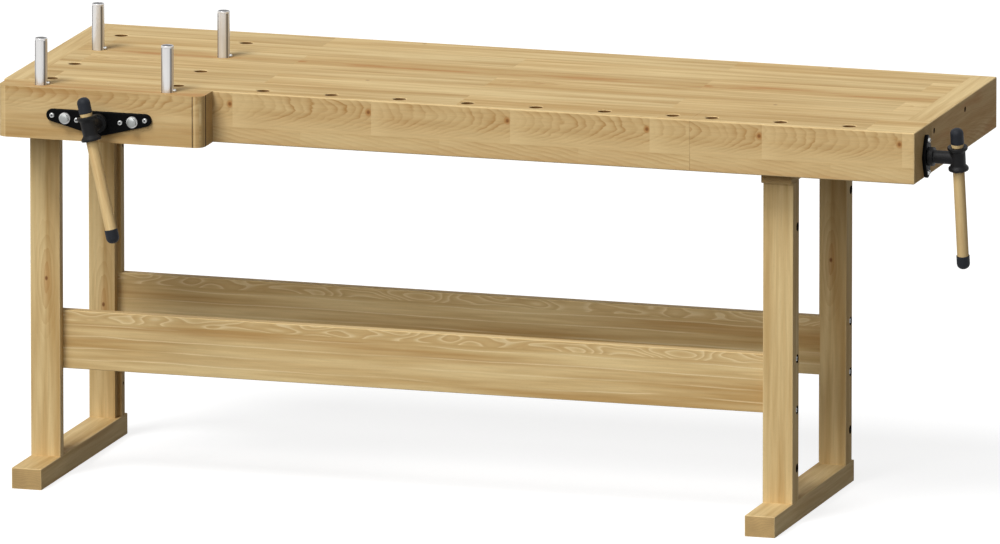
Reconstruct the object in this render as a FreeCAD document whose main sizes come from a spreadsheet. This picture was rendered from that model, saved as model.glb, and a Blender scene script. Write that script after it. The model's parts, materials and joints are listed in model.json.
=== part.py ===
"""Woodworking bench with a front vise, a tail vise and four round bench dogs.

Bench coordinates, in millimetres: X runs from the left end of the top to its right end, Y from the
front face of the front rail to the back, and Z up from the floor. The document's own origin lies on
the floor, in the middle of the whole bench with its vise handles.
"""

import FreeCAD, Part
import math
import os
import re

import Sketcher
from FreeCAD import Placement, Rotation, Vector

# ---------------------------------------------------------------------------------------------
# Driving dimensions: alias, value, what it is
# ---------------------------------------------------------------------------------------------

SIZES = [
    ("bench_length", 2000, "top, end to end"),
    ("bench_depth", 630, "top, front to back"),
    ("work_height", 870, "floor to the top face"),
    ("rail_height", 110, "rails, end caps and jaws"),
    ("rail_thickness", 72, "front rail, which holds the row of dog holes"),
    ("rear_rail_thickness", 50, "rear rail"),
    ("plate_thickness", 45, "glued boards between the rails"),
    ("cap_thickness", 52, "end caps"),
    ("arris", 3, "rounded edges of the top and the jaws"),
    ("frame_arris", 2, "rounded edges of the trestles and stretchers"),
    ("jaw_gap", 0.3, "between closed jaws"),
    ("slide_gap", 0.5, "between wooden faces that slide"),
    ("cheek_thickness", 40, "bearer under the boards beside the tail vise"),
    ("jaw_backing", 70, "block behind the fixed tail jaw, along the bench"),
    ("cap_bolt_radius", 4, "end cap bolts"),
    ("cap_bolt_length", 110, "end cap bolts under the head"),
    ("cap_bolt_drop", 23, "end cap bolts below the top face"),
    ("cap_bolt_inset", 18.5, "first end cap bolt behind the tail vise"),
    ("cap_bolt_spacing", 236, "end cap bolts, front to back"),
    ("cap_recess_radius", 6, "recesses of the end cap bolts"),
    ("cap_recess_depth", 10, "recesses of the end cap bolts"),
    ("bolt_head_radius", 5, "heads of the frame and end cap bolts"),
    ("bolt_head_length", 6, "heads of the frame and end cap bolts"),
    ("bolt_clearance", 0.3, "radial, around the shank of a bolt"),
    ("nut_barrel_radius", 6, "cross nuts of the bolted joints"),
    ("nut_barrel_length", 18, "cross nuts of the bolted joints"),
    ("nut_setback", 4, "middle of a cross nut from the end of its bolt"),
    ("nut_clearance", 0.2, "radial, around a cross nut"),
    ("nut_play", 0.05, "sockets of the stretchers' cross nuts above their bolts"),
    ("hole_radius", 14, "dog holes"),
    ("hole_chamfer", 1.5, "mouths of the dog holes"),
    ("row_inset", 36, "middle of the front dog holes behind the front face"),
    ("row_start", 563, "first hole of the front row from the left end"),
    ("row_pitch", 150, "holes of the front row"),
    ("row_margin", 40, "least wood between the middle of a hole and the end of its row"),
    ("tail_row_inset", 38, "first hole in the tail vise from its jaw"),
    ("left_line", 94.5, "left line of holes across the top, from the left end"),
    ("right_line", 374, "right line of holes across the top, from the left end"),
    ("line_pitch", 160, "holes of a line, front to back"),
    ("dog_radius", 13.5, "bench dogs"),
    ("dog_above", 100, "dog above the top face"),
    ("dog_below", 80, "dog below the top face"),
    ("dog_chamfer", 1.5, "ends of a dog"),
    ("stop_pin_radius", 3.2, "pin that stops a dog at the top face"),
    ("stop_pin_reach", 5.5, "pin outside the dog"),
    ("stop_pin_depth", 8, "pin inside the dog"),
    ("stop_pin_gap", 0.2, "between the pin and the top face"),
    ("notch_clearance", 1, "radial, around a dog hole where it passes a trestle"),
    ("trestle_width", 66, "posts, feet and head rails along the bench"),
    ("left_trestle", 35, "outer face of the left trestle from the left end"),
    ("right_trestle_inset", 283, "outer face of the right trestle from the right end"),
    ("foot_height", 45, "feet"),
    ("foot_front", 66, "feet in front of the top"),
    ("foot_length", 598, "feet, front to back"),
    ("post_depth", 45, "posts, front to back"),
    ("front_post", 67, "front posts behind the front face of the top"),
    ("rear_post", 469, "rear posts behind the front face of the top"),
    ("rebate", 8, "step along the inner side of a post"),
    ("ear_setback", 21, "stretcher behind the front of its post"),
    ("tenon_thickness", 24, "tenons along the bench"),
    ("tenon_width", 35, "tenons, front to back"),
    ("foot_tenon", 32, "tenons into the foot"),
    ("head_tenon", 20, "tenons into the head rail"),
    ("head_drop", 27, "head rails below the rails of the top"),
    ("head_front", 52.5, "head rails behind the front face of the top"),
    ("head_length", 475.5, "head rails, front to back"),
    ("peg_radius", 10, "pegs between the top and the head rails"),
    ("peg_length", 50, "pegs between the top and the head rails"),
    ("peg_rise", 20, "pegs inside the top"),
    ("peg_inset", 31, "pegs from the outer face of a trestle"),
    ("peg_offset", 30, "pegs from the nearest joint of the top"),
    ("stretcher_height", 126, "stretchers"),
    ("stretcher_thickness", 24, "stretchers"),
    ("stretcher_bottom", 233, "stretchers above the floor"),
    ("stretcher_bolt_radius", 3, "stretcher bolts"),
    ("stretcher_bolt_length", 100, "stretcher bolts under the head"),
    ("stretcher_bolt_inset", 8, "bolts from the edges of the stretcher"),
    ("post_recess_depth", 7, "recesses of the holes in the posts"),
    ("post_recess_margin", 0.5, "between those recesses and the rounded edges of the posts"),
    ("low_hole_rise", 71, "free hole of a post above the foot"),
    ("high_hole_drop", 99, "free hole of a post below the head rail"),
    ("chop_start", 8, "front jaw from the left end"),
    ("chop_length", 454, "front jaw"),
    ("chop_thickness", 72, "front jaw"),
    ("chop_round", 21, "rounded ends of the front jaw"),
    ("front_vise", 235, "front vise screw from the left end"),
    ("front_screw_drop", 66, "front vise screw below the top face"),
    ("front_opening", 150, "travel of the front jaw"),
    ("guide_spread", 74.5, "guide rods of the front jaw from its screw"),
    ("guide_rise", 5, "guide rods of the front jaw above its screw"),
    ("guide_radius", 10, "guide rods of the front jaw"),
    ("guide_clearance", 0.5, "radial, around a rod or screw in wood"),
    ("guide_stop_radius", 15, "stop rings on the guide rods"),
    ("guide_stop_width", 10, "stop rings on the guide rods"),
    ("guide_stop_spare", 8, "between stop ring and casting with the jaw open"),
    ("running_clearance", 0.05, "radial, between a rod or screw and its metal bore"),
    ("screw_radius", 12, "both vise screws"),
    ("screw_grip", 20, "end of the screw from the axis of the handle"),
    ("nut_wall", 5, "nuts around the vise screws"),
    ("garter_radius", 18, "rings that draw the jaws open"),
    ("garter_width", 8, "rings that draw the jaws open"),
    ("garter_gap", 0.5, "beside the rings that draw the jaws open"),
    ("garter_clearance", 1, "radial, around the ring in the front jaw"),
    ("casting_depth", 70, "front guide casting, front to back"),
    ("casting_plate", 8, "mounting plates of both castings"),
    ("casting_overhang", 24, "mounting plate outside the bosses of the front casting"),
    ("rod_boss_wall", 6, "castings around the guide rods"),
    ("nut_boss_wall", 3, "castings around the nuts"),
    ("casting_web", 8, "webs of the front casting"),
    ("web_drop", 4, "webs of the front casting below the screw's axis"),
    ("casting_screw_radius", 3, "screws that hold the castings"),
    ("casting_screw_length", 30, "screws that hold the castings, under the head"),
    ("casting_screw_head_radius", 5, "screws that hold the castings"),
    ("casting_screw_head_length", 4, "screws that hold the castings"),
    ("casting_screw_inset", 7, "screws from the ends of the tail casting"),
    ("flange_thickness", 8, "both flanges"),
    ("lobe_spread", 102.6, "lobes of the front flange from the screw"),
    ("lobe_rise", 10, "lobes of the front flange above the screw"),
    ("lobe_radius", 13.5, "lobes of the front flange"),
    ("front_disc_radius", 29.5, "middle of the front flange"),
    ("inner_screw_spread", 48, "inner screws of the front flange"),
    ("inner_screw_rise", 2.5, "inner screws of the front flange"),
    ("tail_lobe_rise", 35.5, "ends of the tail flange from the screw"),
    ("tail_lobe_radius", 10.5, "ends of the tail flange"),
    ("tail_disc_radius", 24.5, "middle of the tail flange"),
    ("tail_flange_screw_rise", 34.25, "screws of the tail flange from the vise screw"),
    ("flange_screw_radius", 2.5, "flange screws"),
    ("flange_screw_length", 35, "flange screws under the head"),
    ("flange_screw_head_radius", 5.5, "heads of the flange screws"),
    ("flange_screw_head_length", 3.5, "heads of the flange screws"),
    ("guide_bolt_radius", 5, "bolts in the ends of the guide rods"),
    ("guide_bolt_length", 30, "bolts in the ends of the guide rods, under the washer"),
    ("guide_bolt_flats", 17, "across the flats of the hexagon head"),
    ("guide_bolt_head", 7, "height of the hexagon head"),
    ("washer_radius", 12.5, "washers of the guide rod bolts"),
    ("washer_thickness", 2.5, "washers of the guide rod bolts"),
    ("head_reach", 72, "axis of a handle in front of its jaw"),
    ("collar_radius", 20, "collars of the screw heads at the flanges"),
    ("collar_width", 12, "collars of the screw heads at the flanges"),
    ("collar_gap", 0.3, "between the collars and the flanges"),
    ("neck_radius", 14, "necks of the screw heads"),
    ("socket_radius", 16, "cross sockets of the screw heads"),
    ("socket_length", 52, "cross sockets of the screw heads"),
    ("socket_rim_radius", 21.5, "rims of the cross sockets"),
    ("socket_rim_width", 5, "rims of the cross sockets"),
    ("socket_flare", 6, "cones beside the rims"),
    ("handle_radius", 12.3, "wooden handles"),
    ("handle_clearance", 0.3, "radial, between a handle and its socket"),
    ("handle_total", 316, "handle with its caps"),
    ("shoulder_radius", 13.2, "collar at the upper end of a handle"),
    ("shoulder_width", 6.5, "collar at the upper end of a handle"),
    ("shoulder_gap", 0.3, "between the collar and its socket"),
    ("handle_tenon_radius", 9, "ends of a handle inside the caps"),
    ("cap_radius", 14, "rubber caps"),
    ("cap_round", 12, "rounded ends of the rubber caps"),
    ("top_cap_length", 34, "upper rubber cap"),
    ("bottom_cap_length", 30, "lower rubber cap"),
    ("rubber_wall", 8, "rubber caps beyond the handle"),
    ("front_handle_tilt", 12.5, "degrees from upright"),
    ("tail_handle_tilt", 10.5, "degrees from upright"),
    ("tail_length", 490, "tail jaw along the bench"),
    ("tail_width", 130, "tail jaw, front to back"),
    ("tail_board", 58, "front board of the tail jaw"),
    ("tail_block", 48, "clamping block of the tail jaw"),
    ("tail_end", 50, "end block of the tail jaw"),
    ("tail_cover", 22, "board that covers the tail vise screw"),
    ("tail_screw_inset", 80, "tail vise screw behind the front face"),
    ("tail_screw_drop", 64, "tail vise screw below the top face"),
    ("tail_opening", 150, "travel of the tail jaw"),
    ("tail_rod_inset", 108, "tail guide rods behind the front face"),
    ("tail_rod_spread", 23, "tail guide rods above and below the screw"),
    ("tail_rod_radius", 8, "tail guide rods"),
    ("tail_rod_seat", 25, "tail guide rods inside each block"),
    ("tail_casting_spare", 4, "between the tail casting and the opened jaw"),
    ("tail_plate_length", 84, "mounting plate of the tail casting"),
    ("tail_plate_height", 80, "mounting plate of the tail casting"),
    ("tail_boss_length", 60, "bosses of the tail casting along the screw"),
]

LINE_STEPS = (1, 2, 3)
HEAD_TAPER = 0.8

# Places worked out from the sizes, each an expression of the document
PLACES = {
    "middle_x": "(bench_length + head_reach + socket_rim_radius) / 2",
    "middle_y": "(bench_depth - chop_thickness - head_reach - socket_rim_radius) / 2",
    "rail_bottom": "work_height - rail_height",
    "plate_bottom": "work_height - plate_thickness",
    "rear_rail_front": "bench_depth - rear_rail_thickness",
    "right_cap": "bench_length - cap_thickness",
    "tail_start": "bench_length - tail_length",
    "fixed_jaw": "tail_start - jaw_gap",
    "inner_edge": "tail_width + slide_gap",
    "cheek_back": "inner_edge + cheek_thickness",
    "front_joint": "row_inset + 1.5 * line_pitch",
    "rear_joint": "row_inset + 2.5 * line_pitch",
    "cap_bolt_height": "work_height - cap_bolt_drop",
    "cap_bolt_hole": "cap_bolt_radius + bolt_clearance",
    "cap_nut_reach": "cap_recess_depth + cap_bolt_length - nut_setback",
    "head_bottom": "rail_bottom - head_drop",
    "tongue_top": "rail_bottom - slide_gap",
    "right_trestle": "bench_length - right_trestle_inset - trestle_width",
    "front_peg": "front_joint - peg_offset",
    "rear_peg": "rear_joint + peg_offset",
    "stretcher_start": "left_trestle + trestle_width - rebate",
    "stretcher_end": "right_trestle + rebate",
    "stretcher_top": "stretcher_bottom + stretcher_height",
    "stretcher_bolt_bite": "stretcher_bolt_length - trestle_width + rebate + post_recess_depth",
    "stretcher_nut_reach": "stretcher_bolt_bite - nut_setback",
    "post_hole": "stretcher_bolt_radius + bolt_clearance",
    "post_recess_radius": "stretcher_thickness / 2 - frame_arris - post_recess_margin",
    "chop_middle": "-chop_thickness / 2",
    "front_screw_height": "work_height - front_screw_drop",
    "guide_height": "front_screw_height + guide_rise",
    "front_handle_y": "-chop_thickness - head_reach",
    "front_flange_face": "-chop_thickness - flange_thickness",
    "casting_back": "rail_thickness + casting_depth",
    "guide_stop_start": "casting_back + front_opening + guide_stop_spare",
    "guide_length": "chop_thickness + guide_stop_start + guide_stop_width",
    "nut_radius": "screw_radius + nut_wall",
    "screw_hole": "screw_radius + guide_clearance",
    "flange_screw_bite": "flange_screw_length - flange_thickness",
    "casting_screw_bite": "casting_screw_length - casting_plate",
    "casting_reach": "guide_spread + guide_radius + rod_boss_wall + casting_overhang",
    "tail_screw_height": "work_height - tail_screw_drop",
    "tail_handle_x": "bench_length + head_reach",
    "tail_flange_face": "bench_length + flange_thickness",
    "tail_block_end": "tail_start + tail_block",
    "tail_end_start": "bench_length - tail_end",
    "tail_plate_start": "tail_block_end + tail_opening + tail_casting_spare",
    "tail_plate_low": "tail_screw_height - tail_plate_height / 2",
    "tail_boss_start": "tail_plate_start + (tail_plate_length - tail_boss_length) / 2",
    "tail_screw_start": "tail_boss_start - tail_opening",
    "shoulder_start": "socket_length / 2 + shoulder_gap",
    "top_cap_start": "shoulder_start + shoulder_width",
    "handle_top": "top_cap_start + top_cap_length",
    "handle_bottom": "handle_top - handle_total",
    "bottom_cap_end": "handle_bottom + bottom_cap_length",
}

NUMBERS = {alias: value for alias, value, _ in SIZES}
WORD = re.compile(r"[A-Za-z_]\w*")
SMALL = 0.01

# Headings of round pieces: the way they point, and the turn from upright
HEADINGS = {
    "up": ((0, 0, 1), Rotation(Vector(0, 0, 1), 0)),
    "left": ((-1, 0, 0), Rotation(Vector(0, 1, 0), -90)),
    "right": ((1, 0, 0), Rotation(Vector(0, 1, 0), 90)),
    "front": ((0, -1, 0), Rotation(Vector(1, 0, 0), 90)),
    "back": ((0, 1, 0), Rotation(Vector(1, 0, 0), -90)),
    "down": ((0, 0, -1), Rotation(Vector(1, 0, 0), 180)),
}
UPRIGHT = HEADINGS["up"][1]
ORIGIN = ("0", "0", "0")

sub_parts = []


def formula(text):
    """Turn names of sizes and places into an expression that the document can follow."""

    def swap(match):
        word = match.group(0)
        if word in PLACES:
            return f"({formula(PLACES[word])})"
        if word in NUMBERS:
            return f"Dims.{word}"
        return word

    return WORD.sub(swap, str(text))


def bind(piece, **properties):
    """Bind properties of an object to sizes, such as Length="bench_length"."""
    for name, text in properties.items():
        piece.setExpression(name, formula(text))


def seat(piece, place, turn=UPRIGHT):
    """Place an object, by default upright, at a point given by three expressions."""
    piece.Placement = Placement(Vector(), turn)
    for axis, text in zip("xyz", place):
        piece.setExpression(f"Placement.Base.{axis}", formula(text))
    return piece


def finish(piece, label, place=ORIGIN, turn=UPRIGHT, tilt=None):
    """Name a sub-part and place it in the document, whose origin is the middle of the bench."""
    x, y, z = place
    piece.Label = label
    seat(piece, (f"{x} - middle_x", f"{y} - middle_y", z), turn)
    if tilt:
        piece.setExpression("Placement.Rotation.Angle", formula(tilt))
    sub_parts.append(piece)


def shifted(place, heading, distance):
    """Move a point along a heading."""
    signs = HEADINGS[heading][0]
    return [f"{text} + {sign} * ({distance})" if sign else text for text, sign in zip(place, signs)]


# ---------------------------------------------------------------------------------------------
# Sketches
# ---------------------------------------------------------------------------------------------


def write_sheet(doc):
    """Keep the driving dimensions in a spreadsheet with one alias each."""
    sheet = doc.addObject("Spreadsheet::Sheet", "Dims")
    for row, (alias, value, note) in enumerate(SIZES, start=1):
        sheet.set(f"A{row}", alias)
        sheet.set(f"B{row}", str(value))
        sheet.set(f"C{row}", note)
        sheet.setAlias(f"B{row}", alias)
    doc.recompute()


def new_sketch(body, name, plane):
    """Attach a sketch to one of its body's own planes."""
    sketch = body.newObject("Sketcher::SketchObject", name)
    support = [f for f in body.Origin.OriginFeatures if f.Role == f"{plane}_Plane"][0]
    sketch.AttachmentSupport = [(support, "")]
    sketch.MapMode = "FlatFace"
    return sketch


def fix(sketch, kind, *parts):
    """Add a constraint whose last part is an expression."""
    *geometry, (start, text) = parts
    number = sketch.addConstraint(Sketcher.Constraint(kind, *geometry, start))
    sketch.setExpression(f"Constraints[{number}]", formula(text))


def fix_point(sketch, line, end, u, v, start=(1.0, 1.0)):
    """Hold one end or the centre of a line at a place measured from the sketch's origin."""
    fix(sketch, "DistanceX", -1, 1, line, end, (start[0], u))
    fix(sketch, "DistanceY", -1, 1, line, end, (start[1], v))


def draw_polygon(sketch, corners):
    """Draw a closed outline through corners given as pairs of expressions."""
    count = len(corners)
    rough = [
        Vector(math.cos(2 * math.pi * i / count), math.sin(2 * math.pi * i / count), 0)
        for i in range(count)
    ]
    first = sketch.GeometryCount
    for i in range(count):
        sketch.addGeometry(Part.LineSegment(rough[i], rough[(i + 1) % count]), False)
    for i in range(count):
        following = first + (i + 1) % count
        sketch.addConstraint(Sketcher.Constraint("Coincident", first + i, 2, following, 1))
    for i, (u, v) in enumerate(corners):
        fix_point(sketch, first + i, 1, u, v)


def draw_circle(sketch, u, v, radius):
    """Draw a circle around a centre."""
    line = sketch.addGeometry(Part.Circle(Vector(), Vector(0, 0, 1), 1.0), False)
    fix_point(sketch, line, 3, u, v)
    fix(sketch, "Radius", line, (1.0, radius))


def number_of(text):
    """The number behind "0", an alias or an alias with a minus sign."""
    sign = -1 if text.startswith("-") else 1
    return sign * float(NUMBERS.get(text.lstrip("-"), 0))


def draw_belt(sketch, rings):
    """Draw the outline of a belt around circles, as arcs joined by tangent lines.

    Each ring is a centre and a radius. They are met in counter-clockwise order.
    """
    circles = [tuple(number_of(text) for text in ring) for ring in rings]
    count = len(circles)
    touches = []
    for i in range(count):
        (ax, ay, ar), (bx, by, br) = circles[i], circles[(i + 1) % count]
        heading = math.atan2(by - ay, bx - ax)
        side = heading - math.acos((ar - br) / math.hypot(bx - ax, by - ay))
        out = Vector(math.cos(side), math.sin(side), 0)
        touches.append((Vector(ax, ay, 0) + out * ar, Vector(bx, by, 0) + out * br))
    arcs = []
    for i, (x, y, radius) in enumerate(circles):
        centre = Vector(x, y, 0)
        start = touches[i - 1][1] - centre
        end = touches[i][0] - centre
        low = math.atan2(start.y, start.x)
        high = math.atan2(end.y, end.x)
        if high < low:
            high += 2 * math.pi
        circle = Part.Circle(centre, Vector(0, 0, 1), radius)
        arcs.append(sketch.addGeometry(Part.ArcOfCircle(circle, low, high), False))
    for i in range(count):
        line = sketch.addGeometry(Part.LineSegment(*touches[i]), False)
        sketch.addConstraint(Sketcher.Constraint("Tangent", arcs[i], 2, line, 1))
        sketch.addConstraint(Sketcher.Constraint("Tangent", line, 2, arcs[(i + 1) % count], 1))
    for arc, (u, v, radius), (x, y, size) in zip(arcs, rings, circles):
        fix_point(sketch, arc, 3, u, v, (x, y))
        fix(sketch, "Radius", arc, (size, radius))


# ---------------------------------------------------------------------------------------------
# Bodies
# ---------------------------------------------------------------------------------------------


def add_pad(doc, body, sketch, length):
    """Extrude a sketch."""
    pad = body.newObject("PartDesign::Pad", f"{body.Name}_pad")
    pad.Profile = sketch
    bind(pad, Length=length)
    doc.recompute()


def add_pocket(doc, body, name, sketch, reverse, depth=None):
    """Cut a sketch into a body, through it or to a depth, and see that something was cut."""
    pocket = body.newObject("PartDesign::Pocket", name)
    pocket.Profile = sketch
    pocket.Reversed = reverse
    if depth is None:
        pocket.Type = "ThroughAll"
    else:
        bind(pocket, Length=depth)
    before = body.Shape.Volume
    doc.recompute()
    if not before - body.Shape.Volume > SMALL:
        raise RuntimeError(f"{name} cuts nothing")


def dress(doc, body, kind, name, edges, **size):
    """Round or chamfer edges of a body's last shape."""
    if not edges:
        raise RuntimeError(f"{name} finds no edges")
    base = body.Tip
    feature = body.newObject(f"PartDesign::{kind}", f"{body.Name}_{name}")
    feature.Base = (base, [f"Edge{number}" for number in edges])
    bind(feature, **size)
    doc.recompute()


def sides_of(edge, shape):
    """Name the faces of a shape's bounding box that an edge lies on."""
    inner, outer = edge.BoundBox, shape.BoundBox
    pairs = {
        "left": (inner.XMax, outer.XMin),
        "right": (inner.XMin, outer.XMax),
        "front": (inner.YMax, outer.YMin),
        "back": (inner.YMin, outer.YMax),
        "bottom": (inner.ZMax, outer.ZMin),
        "top": (inner.ZMin, outer.ZMax),
    }
    return {name for name, (a, b) in pairs.items() if abs(a - b) < SMALL}


def mouths_of(shape, side):
    """Numbers of the full circles on one side of a shape."""
    return [
        number
        for number, edge in enumerate(shape.Edges, start=1)
        if side in sides_of(edge, shape) and edge.isClosed()
    ]


def turned_body(doc, name, profile):
    """A body turned around its own upright axis from a half profile."""
    body = doc.addObject("PartDesign::Body", name)
    sketch = new_sketch(body, f"{name}_profile", "XZ")
    draw_polygon(sketch, profile)
    turned = body.newObject("PartDesign::Revolution", f"{name}_turned")
    turned.Profile = sketch
    turned.ReferenceAxis = (sketch, ["V_Axis"])
    turned.Angle = 360
    doc.recompute()
    return body


class Board:
    """A rectangular wooden piece, whose corner, cuts and holes are given in bench coordinates."""

    def __init__(self, doc, name, corner, size):
        self.doc = doc
        self.name = name
        self.corner = corner
        self.size = size
        self.body = doc.addObject("PartDesign::Body", name)
        self.cuts = 0
        outline = new_sketch(self.body, f"{name}_outline", "XY")
        length, width, height = size
        draw_polygon(outline, [("0", "0"), (length, "0"), (length, width), ("0", width)])
        add_pad(doc, self.body, outline, height)

    def pocket(self, face, draw, depth=None):
        """Cut what draw puts on a sketch of one face into the board."""
        plane, across, offset, reverse = {
            "bottom": ("XY", (0, 1), None, True),
            "top": ("XY", (0, 1), self.size[2], False),
            "front": ("XZ", (0, 2), None, False),
            "left": ("YZ", (1, 2), None, True),
            "right": ("YZ", (1, 2), self.size[0], False),
            "back": ("XZ", (0, 2), f"-({self.size[1]})", True),
        }[face]
        self.cuts += 1
        name = f"{self.name}_cut{self.cuts}"
        sketch = new_sketch(self.body, f"{name}_sketch", plane)
        if offset:
            bind(sketch, **{"AttachmentOffset.Base.z": offset})

        def local(point):
            return [f"({text}) - ({self.corner[i]})" for text, i in zip(point, across)]

        draw(sketch, local)
        add_pocket(self.doc, self.body, name, sketch, reverse, depth)

    def holes(self, face, centres, radius, depth=None):
        """Bore round holes from a face."""

        def draw(sketch, local):
            for centre in centres:
                draw_circle(sketch, *local(centre), radius)

        self.pocket(face, draw, depth)

    def step(self, face, low, high, depth=None):
        """Cut a rectangle between two corners from a face."""

        def draw(sketch, local):
            (left, bottom), (right, top) = local(low), local(high)
            draw_polygon(sketch, [(left, bottom), (right, bottom), (right, top), (left, top)])

        self.pocket(face, draw, depth)

    def dog_holes(self, centres):
        """Bore dog holes down through the board and chamfer their mouths."""
        self.holes("top", centres, "hole_radius")
        mouths = mouths_of(self.body.Tip.Shape, "top")
        if len(mouths) != len(centres):
            raise RuntimeError(f"{self.name} has {len(mouths)} mouths of dog holes")
        dress(self.doc, self.body, "Chamfer", "mouths", mouths, Size="hole_chamfer")

    def round_edges(self, places, radius):
        """Round the edges between two sides of the board, given as "front top"."""
        shape = self.body.Tip.Shape
        wanted = [set(place.split()) for place in places]
        edges = [
            number
            for number, edge in enumerate(shape.Edges, start=1)
            if any(place <= sides_of(edge, shape) for place in wanted)
        ]
        dress(self.doc, self.body, "Fillet", f"round_{radius}", edges, Radius=radius)

    def finish(self, label):
        """Place the finished board in the bench."""
        finish(self.body, label, self.corner)


# ---------------------------------------------------------------------------------------------
# Primitives and booleans
# ---------------------------------------------------------------------------------------------


def cylinder(doc, name, radius, length, start=ORIGIN, heading="up"):
    """A plain cylinder."""
    piece = doc.addObject("Part::Cylinder", name)
    bind(piece, Radius=radius, Height=length)
    return seat(piece, start, HEADINGS[heading][1])


def cone(doc, name, low_radius, high_radius, length, start=ORIGIN, heading="up"):
    """A cone without its tip."""
    piece = doc.addObject("Part::Cone", name)
    bind(piece, Radius1=low_radius, Radius2=high_radius, Height=length)
    return seat(piece, start, HEADINGS[heading][1])


def hexagon(doc, name, flats, length, start, heading):
    """A prism with six sides, its default, given by the distance across its flats."""
    piece = doc.addObject("Part::Prism", name)
    bind(piece, Circumradius=f"({flats}) / sqrt(3)", Height=length)
    return seat(piece, start, HEADINGS[heading][1])


def block(doc, name, corner, size):
    """A plain box."""
    piece = doc.addObject("Part::Box", name)
    length, width, height = size
    bind(piece, Length=length, Width=width, Height=height)
    return seat(piece, corner)


def fuse(doc, name, pieces):
    """Join operands into one solid."""
    joined = doc.addObject("Part::MultiFuse", name)
    joined.Shapes = pieces
    joined.Refine = True
    return joined


def cut(doc, name, base, tools):
    """Cut tools out of a base."""
    result = doc.addObject("Part::Cut", name)
    result.Base = base
    result.Tool = tools[0] if len(tools) == 1 else fuse(doc, f"{name}_tools", tools)
    return result


def ring(doc, name, radius, bore, width, start=ORIGIN, heading="up"):
    """A cylinder with a bore through it."""
    outer = cylinder(doc, f"{name}Outer", radius, width, start, heading)
    inner = cylinder(doc, f"{name}Bore", bore, width, start, heading)
    return cut(doc, name, outer, [inner])


def group(doc, name, pieces):
    """Keep like pieces, each a solid of its own, together."""
    together = doc.addObject("Part::Compound", name)
    together.Links = pieces
    return together


def socket_screw(doc, name, place, heading, shank, head):
    """A screw with a hexagon socket in its head.

    The head stands on the place and points along the heading, and the shank goes the other way.
    """
    radius, length = shank
    head_radius, head_length = head
    start = shifted(place, heading, f"-({length})")
    pieces = [
        cylinder(doc, f"{name}Shank", radius, length, start, heading),
        cone(doc, f"{name}Head", head_radius, f"{head_radius} * {HEAD_TAPER}", head_length, place, heading),
    ]
    key = shifted(place, heading, f"{head_length} / 2")
    socket = hexagon(doc, f"{name}Socket", head_radius, head_length, key, heading)
    return cut(doc, name, fuse(doc, f"{name}Blank", pieces), [socket])


# ---------------------------------------------------------------------------------------------
# Top
# ---------------------------------------------------------------------------------------------


def dog_row(doc, first, end):
    """Dog holes along the front, from the first one to the last one that fits before an end."""
    last = f"floor(({end} - row_margin - ({first})) / row_pitch)"
    steps = int(doc.Dims.evalExpression(formula(last)))
    return [(f"{first} + {step} * row_pitch", "row_inset") for step in range(steps + 1)]


def across_lines(y):
    """The two dog holes that stand side by side at one distance from the front."""
    return [("left_line", y), ("right_line", y)]


def line_holes(step):
    """The two dog holes of one step back from the front rail."""
    return across_lines(f"row_inset + {step} * line_pitch")


def cap_bolt_centres():
    """Places of the end cap bolts in an end face."""
    first = "inner_edge + cap_bolt_inset"
    return [(first, "cap_bolt_height"), (f"{first} + cap_bolt_spacing", "cap_bolt_height")]


def cap_nut_centres(y):
    """Places of the two cross nuts in one row of end cap bolts, seen from above."""
    return [("cap_nut_reach", y), ("bench_length - cap_nut_reach", y)]


def make_end_cap(doc, side, corner, width, edges):
    """A board across one end of the top, with the recesses of its bolts."""
    cap = Board(doc, f"{side}Cap", corner, ("cap_thickness", width, "rail_height"))
    cap.holes(side, cap_bolt_centres(), "cap_bolt_hole")
    cap.holes(side, cap_bolt_centres(), "cap_recess_radius", "cap_recess_depth")
    cap.round_edges(edges, "arris")
    cap.finish(f"{side}_end_cap")


def make_rails(doc):
    """The front rail with its row of dog holes, and the rear rail."""
    length = "fixed_jaw - cap_thickness"
    corner = ("cap_thickness", "0", "rail_bottom")
    front = Board(doc, "FrontRail", corner, (length, "rail_thickness", "rail_height"))
    front.dog_holes(across_lines("row_inset") + dog_row(doc, "row_start", "fixed_jaw"))
    front.holes("front", [("front_vise", "front_screw_height")], "screw_hole")
    front.holes("front", guide_centres(), "guide_radius + guide_clearance")
    front.round_edges(["front top", "front bottom"], "arris")
    front.finish("front_rail")

    length = "right_cap - cap_thickness"
    corner = ("cap_thickness", "rear_rail_front", "rail_bottom")
    rear = Board(doc, "RearRail", corner, (length, "rear_rail_thickness", "rail_height"))
    rear.round_edges(["back top", "back bottom"], "arris")
    rear.finish("rear_rail")


def top_board(doc, name, start, end):
    """One of the boards glued up between the rails and the end caps."""
    corner = ("cap_thickness", start, "plate_bottom")
    size = ("right_cap - cap_thickness", f"{end} - ({start})", "plate_thickness")
    return Board(doc, name, corner, size)


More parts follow.
